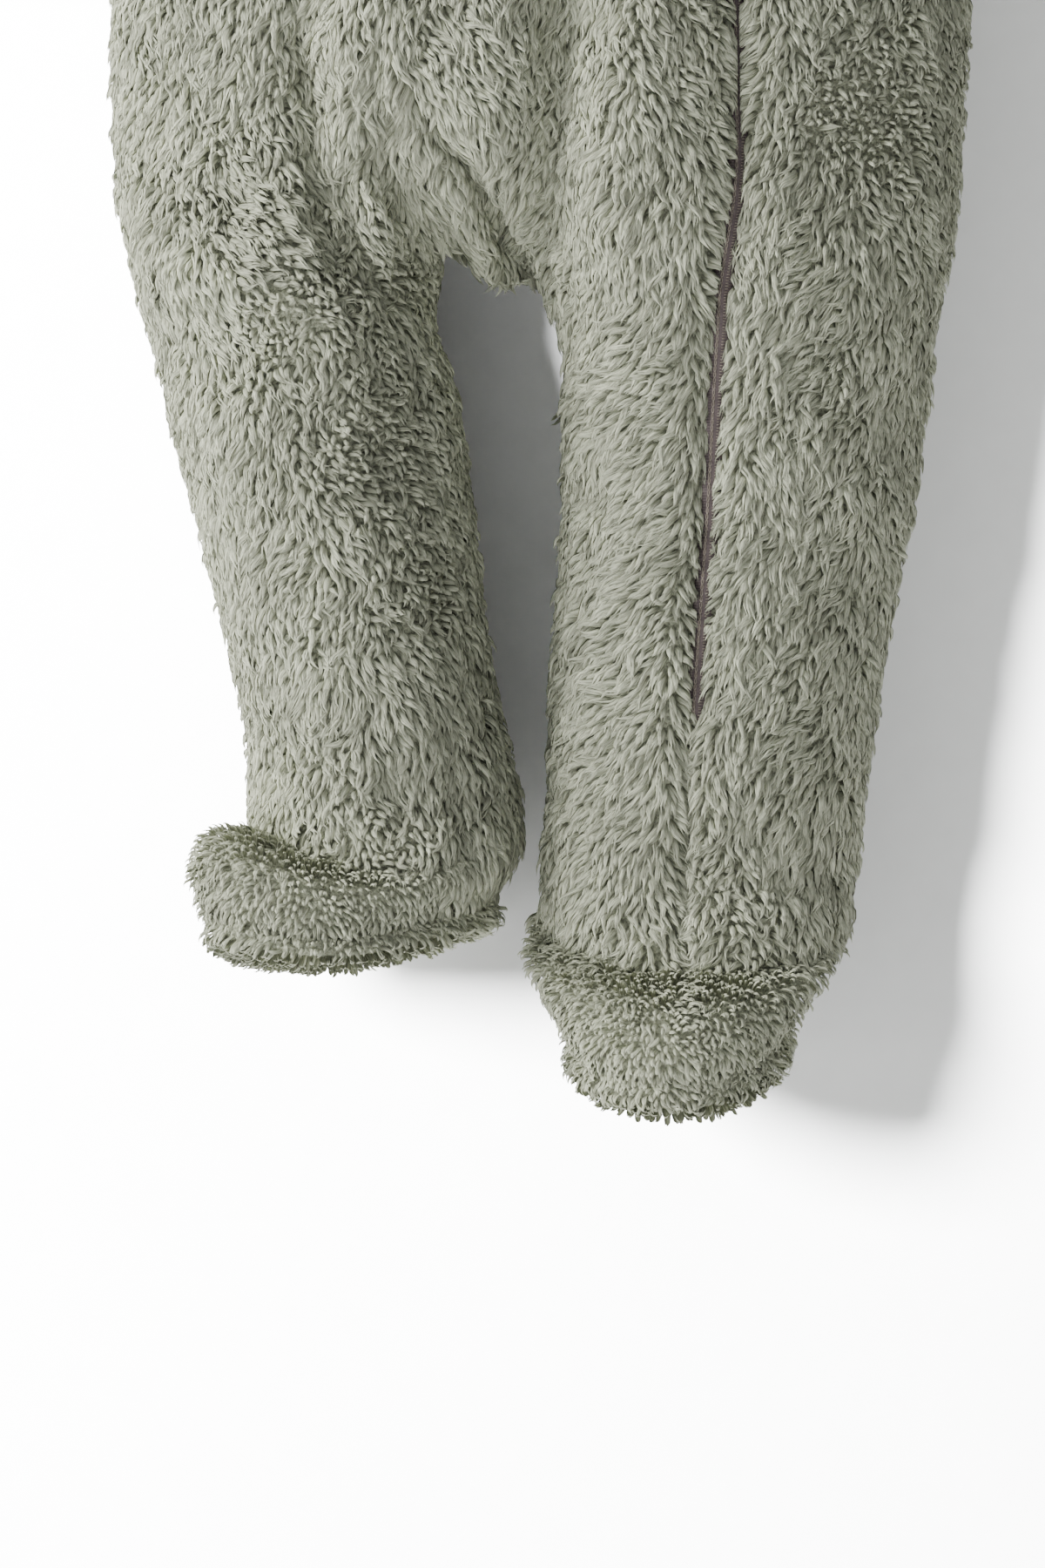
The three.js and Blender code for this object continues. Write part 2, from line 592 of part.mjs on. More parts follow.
const bodyLeft = (upper, lower) => {
  strip("front_left", upper.front, lower.front, 0, ZIP_COLUMN, false);
  strip("front_right", upper.front, lower.front, ZIP_COLUMN, LAST_LEFT, false);
  strip("back_left", upper.back, lower.back, 0, CELLS.back, true);
};
const bodyRight = (inner) => (upper, lower) => {
  strip("front_right", upper.front, lower.front, 0, INSEAM_COLUMN, true);
  strip(inner, upper.front, lower.front, INSEAM_COLUMN, LAST_RIGHT, true);
  strip("back_right", upper.back, lower.back, 0, CELLS.back, false);
};
bands([...yoke.left].reverse(), bodyLeft);
bands([...yoke.right].reverse(), bodyRight("front_right"));
bands(rows.left.slice(0, footDown.left + 1), bodyLeft);
bands(rows.right.slice(0, TIP_ROW + 1), bodyRight("front_right"));
bands(rows.right.slice(TIP_ROW, GUSSET_ENDS + 1), bodyRight("gusset"));
bands(rows.right.slice(GUSSET_ENDS, footDown.right + 1), bodyRight("back_right"));
bands(rows.left.slice(footDown.left), (upper, lower) => {
  strip("foot_upper_left", upper.front, lower.front, 0, LAST_LEFT, false);
  strip("back_left", upper.back, lower.back, 0, CELLS.back, true);
});
bands(rows.right.slice(footDown.right), (upper, lower) => {
  strip("foot_upper_right", upper.front, lower.front, 0, INSEAM_COLUMN, true);
  strip("back_right", upper.front, lower.front, INSEAM_COLUMN, LAST_RIGHT, true);
  strip("back_right", upper.back, lower.back, 0, CELLS.back, false);
});
for (const side of ["left", "right"]) {
  const left = side === "left";
  bands(soles[side], (upper, lower) => {
    strip(`sole_${side}`, upper.front, lower.front, 0, left ? LAST_LEFT : LAST_RIGHT, !left);
    strip(`sole_${side}`, upper.back, lower.back, 0, CELLS.back, left);
  });
  bands(sleeves[side], (upper, lower) => {
    strip(`sleeve_${side}`, upper, lower, 0, upper.length - 1, left);
  });
}
for (const face of ["front", "back"]) {
  gussetRows[face].slice(1).forEach((row, i) => {
    strip("gusset", gussetRows[face][i], row, 0, CELLS.gusset, face === "front");
  });
}

// Normals of the whole net, so that pieces which meet at a seam lean the same way there
function netNormals() {
  const normals = points.map(() => V(0, 0, 0));
  for (const cells of pieces.values()) {
    for (const ids of cells) {
      const corners = ids.map((id) => points[id]);
      const n = V(0, 0, 0);
      corners.forEach((p, i) => n.add(p.clone().cross(corners[(i + 1) % corners.length])));
      ids.forEach((id) => normals[id].add(n));
    }
  }
  return normals.map((n) => n.normalize());
}

function distanceToLine(x, z, line) {
  let nearest = Infinity;
  line.slice(1).forEach(([bx, bz], i) => {
    const [ax, az] = line[i];
    const f = ((x - ax) * (bx - ax) + (z - az) * (bz - az)) / ((bx - ax) ** 2 + (bz - az) ** 2);
    const g = THREE.MathUtils.clamp(f, 0, 1);
    nearest = Math.min(nearest, Math.hypot(x - mix(ax, bx, g), z - mix(az, bz, g)));
  });
  return nearest;
}

netNormals().forEach((n, id) => {
  const p = points[id];
  const onSleeve = Math.abs(p.x) > UNDERARM.x && p.z > SLEEVE.at(-1).underZ;
  if (onSleeve) return;
  let shift = 0;
  for (const fold of FOLDS) {
    const facing = THREE.MathUtils.clamp((fold.face === "front" ? -1 : 1) * n.y * 1.6, 0, 1);
    shift += fold.depth * facing * Math.exp(-((distanceToLine(p.x, p.z, fold.line) / fold.width) ** 2));
  }
  p.addScaledVector(n, shift);
});
const normals = netNormals();

// How far each shared edge is drawn back from its seam
const key = (a, b) => (a < b ? `${a} ${b}` : `${b} ${a}`);
const edgeUses = new Map();
for (const cells of pieces.values()) {
  for (const ids of cells) {
    ids.forEach((id, i) => {
      const k = key(id, ids[(i + 1) % ids.length]);
      edgeUses.set(k, (edgeUses.get(k) ?? 0) + 1);
    });
  }
}
const zipRows = [...[...yoke.left].reverse(), ...rows.left.slice(1).filter((row) => row.z >= ZIP.end)];
const zipIds = zipRows.map((row) => row.front[ZIP_COLUMN]);
const zipEdges = new Map();
zipIds.slice(1).forEach((id, i) => zipEdges.set(key(zipIds[i], id), i < 2 ? ZIP.sliderHalfGap : ZIP.halfGap));

function drawBack(k) {
  if (zipEdges.has(k)) return zipEdges.get(k);
  return edgeUses.get(k) > 1 ? SEAM_GAP / 2 : 0;
}

// A closed solid from its outer and inner points and its cells
function closedSolid(outer, inner, cells) {
  const position = [];
  const triangle = (a, b, c) => position.push(...a.toArray(), ...b.toArray(), ...c.toArray());
  const open = new Map();
  for (const ids of cells) {
    const [p, q, r, t] = ids.map((id) => outer.get(id));
    const turned = t && q.distanceTo(t) < p.distanceTo(r) ? [...ids.slice(1), ids[0]] : ids;
    for (let i = 2; i < turned.length; i++) {
      triangle(outer.get(turned[0]), outer.get(turned[i - 1]), outer.get(turned[i]));
      triangle(inner.get(turned[0]), inner.get(turned[i]), inner.get(turned[i - 1]));
    }
    ids.forEach((a, i) => {
      const b = ids[(i + 1) % ids.length];
      if (open.has(`${b} ${a}`)) open.delete(`${b} ${a}`);
      else open.set(`${a} ${b}`, [a, b]);
    });
  }
  for (const [a, b] of open.values()) {
    const [A, B, lowA, lowB] = [outer.get(a), outer.get(b), inner.get(a), inner.get(b)];
    if (a < b) {
      triangle(B, A, lowA);
      triangle(B, lowA, lowB);
    } else {
      triangle(B, A, lowB);
      triangle(A, lowA, lowB);
    }
  }
  const geometry = new THREE.BufferGeometry();
  geometry.setAttribute("position", new THREE.Float32BufferAttribute(position, 3));
  geometry.computeVertexNormals();
  return geometry;
}

// The direction from an edge into its cell
function intoCell(a, b, ids) {
  const middle = V(0, 0, 0);
  ids.forEach((id) => middle.addScaledVector(points[id], 1 / ids.length));
  const along = points[b].clone().sub(points[a]).normalize();
  const into = middle.sub(points[a]);
  return into.addScaledVector(along, -into.dot(along));
}

// One sewn piece: its cells, drawn back at the seams and thickened inwards
function clothPiece(cells) {
  const used = new Set(cells.flat());
  const [open, cellOf] = [new Map(), new Map()];
  for (const ids of cells) {
    ids.forEach((a, i) => {
      const b = ids[(i + 1) % ids.length];
      cellOf.set(`${a} ${b}`, ids);
      if (open.has(`${b} ${a}`)) open.delete(`${b} ${a}`);
      else open.set(`${a} ${b}`, [a, b]);
    });
  }
  const pulls = new Map();
  for (const [a, b] of open.values()) {
    const along = points[b].clone().sub(points[a]).normalize();
    for (const id of [a, b]) {
      const inwards = normals[id].clone().cross(along);
      if (inwards.length() < 0.35) inwards.copy(intoCell(a, b, cellOf.get(`${a} ${b}`)));
      if (!pulls.has(id)) pulls.set(id, []);
      pulls.get(id).push({ inwards: inwards.normalize(), distance: drawBack(key(a, b)) });
    }
  }
  const [outer, inner] = [new Map(), new Map()];
  for (const id of used) {
    const p = points[id].clone();
    const edges = pulls.get(id) ?? [];
    const sewn = edges.some((edge) => edge.distance > 0);
    if (edges.length > 1) {
      const [e, f] = edges;
      const cosine = e.inwards.dot(f.inwards);
      if (cosine > 0.9) {
        const both = e.inwards.clone().add(f.inwards).normalize();
        p.addScaledVector(both, Math.max(e.distance, f.distance));
      } else {
        const share = 1 - Math.min(cosine, 0.9) ** 2;
        p.addScaledVector(e.inwards, (e.distance - f.distance * cosine) / Math.max(share, 0.2));
        p.addScaledVector(f.inwards, (f.distance - e.distance * cosine) / Math.max(share, 0.2));
      }
    }
    outer.set(id, p.clone().addScaledVector(normals[id], sewn ? -SEAM_SINK : 0));
    inner.set(id, p.addScaledVector(normals[id], -CLOTH));
  }
  return closedSolid(outer, inner, cells);
}

const onesie = new THREE.Group();
function piece(name, geometry, color, roughness, metalness = 0) {
  const mesh = new THREE.Mesh(geometry, new THREE.MeshStandardMaterial({ color, roughness, metalness }));
  mesh.name = name;
  onesie.add(mesh);
}

for (const [name, cells] of pieces) piece(name, clothPiece(cells), COLOUR.pile, 0.95);

// The zip's closed chain, a flat bar at the bottom of the gap between its two edges
const chain = zipIds.map((id, i) => {
  const row = zipRows[i].front;
  const n = normals[id];
  const across = points[row[ZIP_COLUMN - 1]].clone().sub(points[row[ZIP_COLUMN + 1]]);
  across.addScaledVector(n, -across.dot(n)).normalize();
  const top = points[id].clone().addScaledVector(n, -ZIP.sink);
  return { n, across, top, foot: top.clone().addScaledVector(n, -ZIP.thick) };
});

function chainBar() {
  const [outer, inner, cells] = [new Map(), new Map(), []];
  chain.forEach(({ across, top, foot }, i) => {
    [1, -1].forEach((s, k) => {
      outer.set(2 * i + k, top.clone().addScaledVector(across, s * ZIP.halfWidth));
      inner.set(2 * i + k, foot.clone().addScaledVector(across, s * ZIP.halfWidth));
    });
    if (i) cells.push([2 * i - 2, 2 * i - 1, 2 * i + 1, 2 * i]);
  });
  return closedSolid(outer, inner, cells);
}
piece("zip_chain", chainBar(), COLOUR.tape, 0.7);

// The slider's frame, a little below the zip's top end: x across, y along the zip downwards, z outwards
function frameOnChain(down) {
  const first = chain[0].top.distanceTo(chain[1].top);
  const i = first > down ? 0 : 1;
  const [from, to] = [chain[i], chain[i + 1]];
  const along = to.top.clone().sub(from.top).normalize();
  const out = between(from.n, to.n, 0.5);
  out.addScaledVector(along, -out.dot(along)).normalize();
  const across = along.clone().cross(out).normalize();
  const origin = from.top.clone().addScaledVector(along, i ? down - first : down);
  return new THREE.Matrix4().makeBasis(across, along, out).setPosition(origin);
}
const sliderFrame = frameOnChain(SLIDER.down);

function roundedRectangle(x0, y0, x1, y1, r) {
  const shape = new THREE.Shape();
  shape.moveTo(x0 + r, y0);
  shape.lineTo(x1 - r, y0);
  shape.absarc(x1 - r, y0 + r, r, -Math.PI / 2, 0, false);
  shape.lineTo(x1, y1 - r);
  shape.absarc(x1 - r, y1 - r, r, 0, Math.PI / 2, false);
  shape.lineTo(x0 + r, y1);
  shape.absarc(x0 + r, y1 - r, r, Math.PI / 2, Math.PI, false);
  shape.lineTo(x0, y0 + r);
  shape.absarc(x0 + r, y0 + r, r, Math.PI, 1.5 * Math.PI, false);
  return shape;
}

// A solid drawn from the side, in the zip's y and z, and extruded across it
function fromTheSide(shape, width) {
  const geometry = new THREE.ExtrudeGeometry(shape, { depth: width, bevelEnabled: false, curveSegments: 4 });
  const turn = new THREE.Matrix4().makeBasis(V(0, 1, 0), V(0, 0, 1), V(1, 0, 0));
  return geometry.applyMatrix4(turn.setPosition(-width / 2, 0, 0));
}

function manifoldOf(geometry) {
  const bare = new THREE.BufferGeometry();
  bare.setAttribute("position", geometry.getAttribute("position"));
  const welded = mergeVertices(bare);
  return new manifold.Manifold(
    new manifold.Mesh({
      numProp: 3,
      vertProperties: welded.attributes.position.array,
      triVerts: new Uint32Array(welded.index.array),
    }),
  );
}

function joined(first, second) {
  const mesh = manifoldOf(first).add(manifoldOf(second)).getMesh();
  const geometry = new THREE.BufferGeometry();
  geometry.setAttribute("position", new THREE.BufferAttribute(mesh.vertProperties, 3));
  geometry.setIndex(new THREE.BufferAttribute(mesh.triVerts, 1));
  return geometry;
}

// The slider: a body with cut corners, and over it the bail that holds the pull's eye
const bodyTop = ZIP.sink + SLIDER.rise;
const body = new THREE.Shape();
body.moveTo(SLIDER.chamfer, SEAM_GAP);
body.lineTo(SLIDER.length - SLIDER.chamfer, SEAM_GAP);
body.lineTo(SLIDER.length, SEAM_GAP + SLIDER.chamfer);
body.lineTo(SLIDER.length, bodyTop - SLIDER.chamfer);
body.lineTo(SLIDER.length - SLIDER.chamfer, bodyTop);
body.lineTo(SLIDER.chamfer, bodyTop);
body.lineTo(0, bodyTop - SLIDER.chamfer);
body.lineTo(0, SEAM_GAP + SLIDER.chamfer);
body.closePath();
const bail = new THREE.Shape();
const bailTop = bodyTop + BAIL.inside + BAIL.bar;
bail.moveTo(BAIL.from, bodyTop - BAIL.bar);
bail.lineTo(BAIL.from + BAIL.bar, bodyTop - BAIL.bar);
bail.lineTo(BAIL.from + BAIL.bar, bailTop - BAIL.bar);
bail.lineTo(BAIL.to - BAIL.bar, bailTop - BAIL.bar);
bail.lineTo(BAIL.to - BAIL.bar, bodyTop - BAIL.bar);
bail.lineTo(BAIL.to, bodyTop - BAIL.bar);
bail.lineTo(BAIL.to, bailTop - BAIL.bar / 2);
bail.lineTo(BAIL.to - BAIL.bar / 2, bailTop);
bail.lineTo(BAIL.from + BAIL.bar / 2, bailTop);
bail.lineTo(BAIL.from, bailTop - BAIL.bar / 2);
bail.closePath();
const slider = joined(fromTheSide(body, SLIDER.width), fromTheSide(bail, BAIL.width));
piece("zip_slider", slider.applyMatrix4(sliderFrame), COLOUR.metal, 0.4, 0.8);

// The pull: a flat tab with an eye. The crossbar at the end of the eye lies in the bail, and turns there.
const crossbar = {
  y: BAIL.to - BAIL.bar - PULL.clear - PULL.crossbar / 2,
  z: bodyTop + BAIL.inside / 2,
};
const [halfBar, halfEye] = [PULL.crossbar / 2, BAIL.width / 2 + PULL.clear];
const tab = roundedRectangle(-PULL.width / 2, -halfBar, PULL.width / 2, PULL.length, halfBar);
tab.holes.push(roundedRectangle(-halfEye, halfBar, halfEye, halfBar + PULL.eye, 0.1));
const pull = new THREE.ExtrudeGeometry(tab, { depth: PULL.thick, bevelEnabled: false, curveSegments: 5 });
pull.translate(0, crossbar.y, crossbar.z - PULL.thick / 2);
piece("zip_pull", pull.applyMatrix4(sliderFrame), COLOUR.metal, 0.4, 0.8);

export default onesie;
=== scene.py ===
# The looks of a footed onesie in long-pile fleece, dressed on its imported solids.
# Metres, in the frame of the solids: +X is the wearer's left, +Y the back, +Z up.

import json
import math

import bmesh
import bpy
import numpy as np
from bpy.props import FloatProperty, FloatVectorProperty, IntProperty, PointerProperty
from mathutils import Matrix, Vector
from mathutils.kdtree import KDTree

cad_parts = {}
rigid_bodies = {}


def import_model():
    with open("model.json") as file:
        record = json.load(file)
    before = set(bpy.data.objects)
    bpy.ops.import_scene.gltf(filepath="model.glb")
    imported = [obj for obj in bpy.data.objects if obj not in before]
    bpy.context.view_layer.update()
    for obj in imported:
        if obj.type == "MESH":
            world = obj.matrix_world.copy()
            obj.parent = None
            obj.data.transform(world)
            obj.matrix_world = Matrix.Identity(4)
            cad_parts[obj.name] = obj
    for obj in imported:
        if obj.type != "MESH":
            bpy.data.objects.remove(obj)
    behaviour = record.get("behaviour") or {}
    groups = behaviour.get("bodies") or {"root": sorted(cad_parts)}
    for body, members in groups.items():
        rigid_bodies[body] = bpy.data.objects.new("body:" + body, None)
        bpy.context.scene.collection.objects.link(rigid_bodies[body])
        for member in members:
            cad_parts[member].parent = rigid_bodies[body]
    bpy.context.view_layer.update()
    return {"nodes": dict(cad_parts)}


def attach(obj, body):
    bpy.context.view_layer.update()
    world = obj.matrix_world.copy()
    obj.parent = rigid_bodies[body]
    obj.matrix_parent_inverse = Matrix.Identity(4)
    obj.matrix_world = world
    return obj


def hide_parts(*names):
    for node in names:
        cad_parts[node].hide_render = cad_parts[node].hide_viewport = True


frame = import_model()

MM = 0.001

bl_info = {
    "name": "Fleece onesie",
    "version": (1, 0, 0),
    "blender": (4, 5, 0),
    "location": "3D View > Sidebar > Onesie",
    "description": "Dresses the solids of a footed onesie in pile fleece, with its zip and a plain stage",
    "category": "Object",
}

# The pieces of cloth, and the cut of each: the rectangle it is laid out in, and its own flat area
CUTS = {
    "front_left": {"flat": (0.20, 0.70), "area": 0.070},
    "front_right": {"flat": (0.36, 0.72), "area": 0.150},
    "back_left": {"flat": (0.24, 0.80), "area": 0.128},
    "back_right": {"flat": (0.28, 0.78), "area": 0.114},
    "gusset": {"flat": (0.11, 0.10), "area": 0.0064},
    "foot_upper_left": {"flat": (0.16, 0.10), "area": 0.0072},
    "foot_upper_right": {"flat": (0.15, 0.08), "area": 0.0059},
    "sole_left": {"flat": (0.11, 0.14), "area": 0.0105},
    "sole_right": {"flat": (0.11, 0.13), "area": 0.0090},
    "sleeve_left": {"flat": (0.26, 0.23), "area": 0.047},
    "sleeve_right": {"flat": (0.26, 0.23), "area": 0.047},
}

# How the solids were made: the lengths of the edges across their walls, at free and at sewn edges
WALL_EDGES = (7.0 * MM, 5.4 * MM)
WALL_EDGE_TOLERANCE = 0.004 * MM
WELD = 0.02 * MM  # corners nearer than this are one

# The line of the zip on the front, as x at heights z, and where the pile beside it stops closing over it
ZIP_LINE = {"z": (-0.622, -0.545, -0.462, -0.415, -0.345, -0.25, -0.165, -0.1, -0.042),
            "x": (0.057, 0.062, 0.067, 0.074, 0.073, 0.053, 0.026, 0.010, 0.0)}
ZIP_SHOWS_BELOW = -0.405
ZIP_VALLEY = {"width": 0.010, "rise": -0.003}
ZIP_DRAWS = (6 * MM, 14 * MM)  # off its line: where the pile is drawn to it in full, and where no more
ZIP_COVERED_END = 6 * MM  # at its lower end the pile closes over the zip again
COLLAR = (0.09, 0.16)  # below the origin: where the zip comes up to lie on the cloth
SEAM_FADE = (0.5 * MM, 6 * MM)  # off a seam: where it presses the pile in full and darkens it with painted shade, and where no more

# The photograph shows the garment from below this height, where the pile is finest
PHOTO_TOP = -0.33

# Where the pile on each foot spreads from: the wearer's right foot, then the left
FOOT_MIDDLES = (np.array([-0.072, 0.0, -0.628]), np.array([0.052, 0.0, -0.655]))

# The three tables below are in millimetres, and degrees.
# Creases and soft ridges of the cloth: side, half width, rise, and their way over it as x and z
CREASES = [
    ("round", 10, 6, [(-100, -653), (-108, -661)]),  # instep of the right foot
    ("front", 6.5, 3.4, [(-42, -416), (-26, -440), (-8, -463)]),  # band of the gusset
    ("front", 8, 5.4, [(-76, -355), (-72, -387), (-67, -419), (-60, -448)]),  # thigh ridge
    ("front", 5.5, -4.4, [(-89, -355), (-87, -390), (-81, -429), (-72, -458)]),  # beside the thigh ridge
    ("front", 5, -3.5, [(-63, -355), (-62, -384), (-58, -403)]),  # between thigh ridge and gusset
    ("front", 6, -2.6, [(-125, -416), (-104, -448), (-78, -469)]),  # thigh fold
    ("front", 7, -3, [(-147, -466), (-120, -477), (-88, -481)]),  # knee fold
    ("front", 6, 2, [(-120, -458), (-84, -475)]),  # above the knee
    ("front", 7, -4.8, [(11, -355), (9, -390), (3, -419), (0, -448), (-1, -466)]),  # beside the crotch
    ("front", 9, 2.6, [(24, -355), (20, -393), (15, -435), (12, -468)]),  # thigh beside it
    ("front", 6, -2.2, [(40, -413), (41, -451), (32, -466)]),  # front of the thigh
    ("front", 3.5, -2.4, [(54, -622), (53, -658), (51, -693)]),  # seam below the zip
    ("front", 6, -2.8, [(58, -678), (83, -681), (114, -678)]),  # ankle
    ("front", 5, -1.6, [(9, -677), (32, -684), (48, -684)]),  # inner ankle
    ("front", 4.5, -2.4, [(-33, -522), (-28, -574), (-24, -622)]),  # inseam
    ("front", 13, -4, [(-58, -474), (-53, -509), (-55, -551)]),  # back of the shin
    ("front", 7, -3, [(-62, -656), (-42, -650), (-25, -647)]),  # over the foot
    ("front", 10, 2.2, [(-104, -639), (-81, -645), (-65, -639)]),  # ankle bulge
    ("front", 7, -2.6, [(-66, -613), (-55, -639), (-52, -664)]),  # beside the ankle bulge
    # gusset seam
    ("front", 4.2, -4.4, [(-54, -403), (-45, -399), (-37, -407), (-29, -414), (-23, -426),
                          (-15, -435), (-10, -446), (-7, -450)]),
    ("back", 7, -3.2, [(-125, -512), (-85, -524), (-50, -520)]),  # back of the right knee
    ("back", 6, -2.2, [(-115, -545), (-75, -552)]),  # below it
    ("back", 7, -3, [(45, -522), (85, -530), (120, -515)]),  # back of the left knee
    ("back", 6, -1.8, [(60, -492), (105, -486)]),  # above it
    ("back", 7, -3.4, [(-70, -320), (-45, -385), (-18, -432)]),  # right of the seat
    ("back", 7, -3, [(72, -330), (46, -392), (20, -436)]),  # left of the seat
    ("back", 8, -2.4, [(-85, -246), (-20, -262), (50, -250)]),  # small of the back
    ("back", 6, -2.4, [(-95, -655), (-60, -662)]),  # right heel
    ("back", 6, -2.4, [(40, -690), (80, -684)]),  # left heel
    ("front", 7, -3, [(-90, -170), (-78, -240), (-70, -310)]),  # right of the chest
    ("front", 7, -2.6, [(88, -180), (80, -250), (86, -315)]),  # left of the chest
]

# Which way the nap lies on the front: x, z, reach, and its lean from straight down to +X in degrees
NAP = [
    (-49, -408, 9, 40), (-33, -424, 9, 48), (-20, -441, 9, 50), (-7, -459, 8, 48),
    (-54, -430, 12, 30), (-65, -451, 14, 10), (-120, -370, 45, -8), (-60, -400, 30, 8),
    (-90, -440, 30, 35), (-135, -460, 30, 20), (-110, -540, 40, -6), (-60, -520, 25, 25),
    (-35, -570, 20, 18), (-80, -620, 30, 12), (20, -400, 25, -18), (55, -400, 22, 45),
    (15, -480, 28, -62), (47, -462, 20, 15), (50, -490, 18, -72), (46, -525, 20, -78),
    (12, -600, 30, -62), (40, -565, 18, -64), (85, -420, 20, 10), (115, -390, 30, -30),
    (100, -480, 35, -24), (100, -600, 40, -38), (90, -670, 30, -20),
]
# Where the pile on the front is short and curly, and where painted shade darkens it, or painted light
# lightens it where that column is below 0: x, z, reach, curl and painted shade
CURL_AND_PAINTED_SHADE = [
    (-52, -451, 13, 0.9, 0.1), (-62, -520, 30, 0.9, 0.24), (-50, -580, 22, 0.7, 0.16),
    (-85, -470, 25, 0.7, 0.1), (125, -380, 30, 0.9, 0.0), (60, -350, 16, 0.7, 0.0),
    (-80, -690, 35, 0.9, -0.05), (50, -740, 40, 0.9, -0.4), (-38, -552, 20, 0.1, 0.26),
    (-29, -600, 21, 0.0, 0.32), (-21, -645, 20, 0.0, 0.32), (-90, -665, 22, 0.0, -0.25),
    (22, -430, 28, 0.0, 0.18), (16, -500, 30, 0.0, 0.24), (20, -570, 30, 0.0, 0.24),
    (30, -640, 28, 0.0, 0.14),
]
LEAN, CURL, PAINTED_SHADE = 3, 3, 4  # the columns of these tables


def measure(name, default, description):
    return FloatProperty(name=name, description=description, default=default, unit="LENGTH")


def paint(name, default, description):
    return FloatVectorProperty(name=name, description=description, default=default, subtype="COLOR")


class OnesiePile(bpy.types.PropertyGroup):
    depth: measure("Depth", 5.2 * MM, "From the backing to the tips")
    backing: measure("Backing", 1.3 * MM, "Thickness of the knitted backing")
    spacing: measure("Spacing", 2.4 * MM, "Between locks where the photograph looks")
    spacing_behind: measure("Spacing behind", 5.2 * MM, "Between locks elsewhere")
    length: measure("Length", 11.5 * MM, "Of a lock along its curve")
    radius: measure("Radius", 1.3 * MM, "Of a lock where it is thickest")
    foot_spacing: measure("Spacing on the feet", 1.95 * MM, "Between locks")
    foot_length: measure("Length on the feet", 7.4 * MM, "Of a lock along its curve")
    blades: IntProperty(name="Blades", description="In each lock where the photograph looks", default=4)
    blades_behind: IntProperty(name="Blades behind", description="In each lock elsewhere", default=3)
    # from root to tip the pile grows lighter: the darker root and middle are painted shade deep in the pile
    root: paint("Root colour", (0.32, 0.335, 0.243), "Deep in the pile")
    middle: paint("Middle colour", (0.44, 0.46, 0.345), "Along the blades")
    tip: paint("Tip colour", (0.55, 0.57, 0.44), "At the ends of the blades")


class OnesieZip(bpy.types.PropertyGroup):
    depth: measure("Depth", 3.6 * MM, "Of the zip below the pile's tips")
    pitch: measure("Pitch", 1.1 * MM, "Of the coil")
    stitch: measure("Stitch", 2.2 * MM, "From one stitch to the next")
    tape: paint("Tape colour", (0.078, 0.060, 0.060), "Woven tape")
    thread: paint("Thread colour", (0.25, 0.215, 0.18), "Chain stitches")
    metal: paint("Metal colour", (0.33, 0.30, 0.28), "Slider and pull")


class OnesieStage(bpy.types.PropertyGroup):
    wall: measure("Wall", 0.0625, "How far behind the origin the wall stands")
    floor: measure("Floor", 1.03, "How far below the origin the floor lies")
    distance: measure("Camera distance", 1.8, "From the camera to what it looks at")
    look_x: measure("Look at X", -0.007, "Where the camera looks")
    look_z: measure("Look at Z", -0.645, "Where the camera looks")
    lens: FloatProperty(name="Lens", description="In millimetres", default=108.0)


def settings(name):
    return getattr(bpy.context.scene, "onesie_" + name)


def alone(obj):
    """Makes one object the only one selected."""
    bpy.ops.object.select_all(action="DESELECT")
    obj.select_set(True)
    bpy.context.view_layer.objects.active = obj


def finish_with(obj, kind, **values):
    """Adds a modifier and applies it."""
    alone(obj)
    modifier = obj.modifiers.new(kind.lower(), kind)
    for key, value in values.items():
        setattr(modifier, key, value)
    bpy.ops.object.modifier_apply(modifier=modifier.name)


def edit(obj, operator, **values):
    """Runs a mesh operator on the whole of one object."""
    alone(obj)
    bpy.ops.object.mode_set(mode="EDIT")
    bpy.ops.mesh.select_all(action="SELECT")
    operator(**values)
    bpy.ops.object.mode_set(mode="OBJECT")


def in_scene(name, mesh):
    """A new object with that mesh."""
    obj = bpy.data.objects.new(name, mesh)
    bpy.context.scene.collection.objects.link(obj)
    return obj


def smooth_object(name, vertices, faces):
    mesh = bpy.data.meshes.new(name)
    mesh.from_pydata(vertices, [], faces)
    mesh.update()
    mesh.shade_smooth()
    return in_scene(name, mesh)


def ramp(value, low, high):
    """0 below low, 1 above high, and smooth between them."""
    t = np.clip((value - low) / (high - low), 0, 1)
    return t * t * (3 - 2 * t)


def unit(vectors):
    return vectors / np.maximum(np.linalg.norm(vectors, axis=1, keepdims=True), 1e-12)


WAVES = 9


def noise(points, seed, length):
    """About -1 to 1 over points, changing over a length: the sum of waves in fixed random directions."""
    rng = np.random.default_rng(seed)
    direction = unit(rng.normal(size=(WAVES, 3)))
    pace = 2 * np.pi / (length * rng.uniform(0.7, 1.5, size=(WAVES, 1)))
    phase = rng.uniform(0, 2 * np.pi, WAVES)
    return np.sin(points @ (direction * pace).T + phase).sum(1) / math.sqrt(WAVES)


# The cloth: the outer face of each solid

def islands(faces):
    """Groups of faces that share edges."""
    left, groups = set(faces), []
    while left:
        group, waiting = [], [left.pop()]
        while waiting:
            face = waiting.pop()
            group.append(face)
            for edge in face.edges:
                for other in edge.link_faces:
                    if other in left:
                        left.remove(other)
                        waiting.append(other)
        groups.append(group)
    return groups


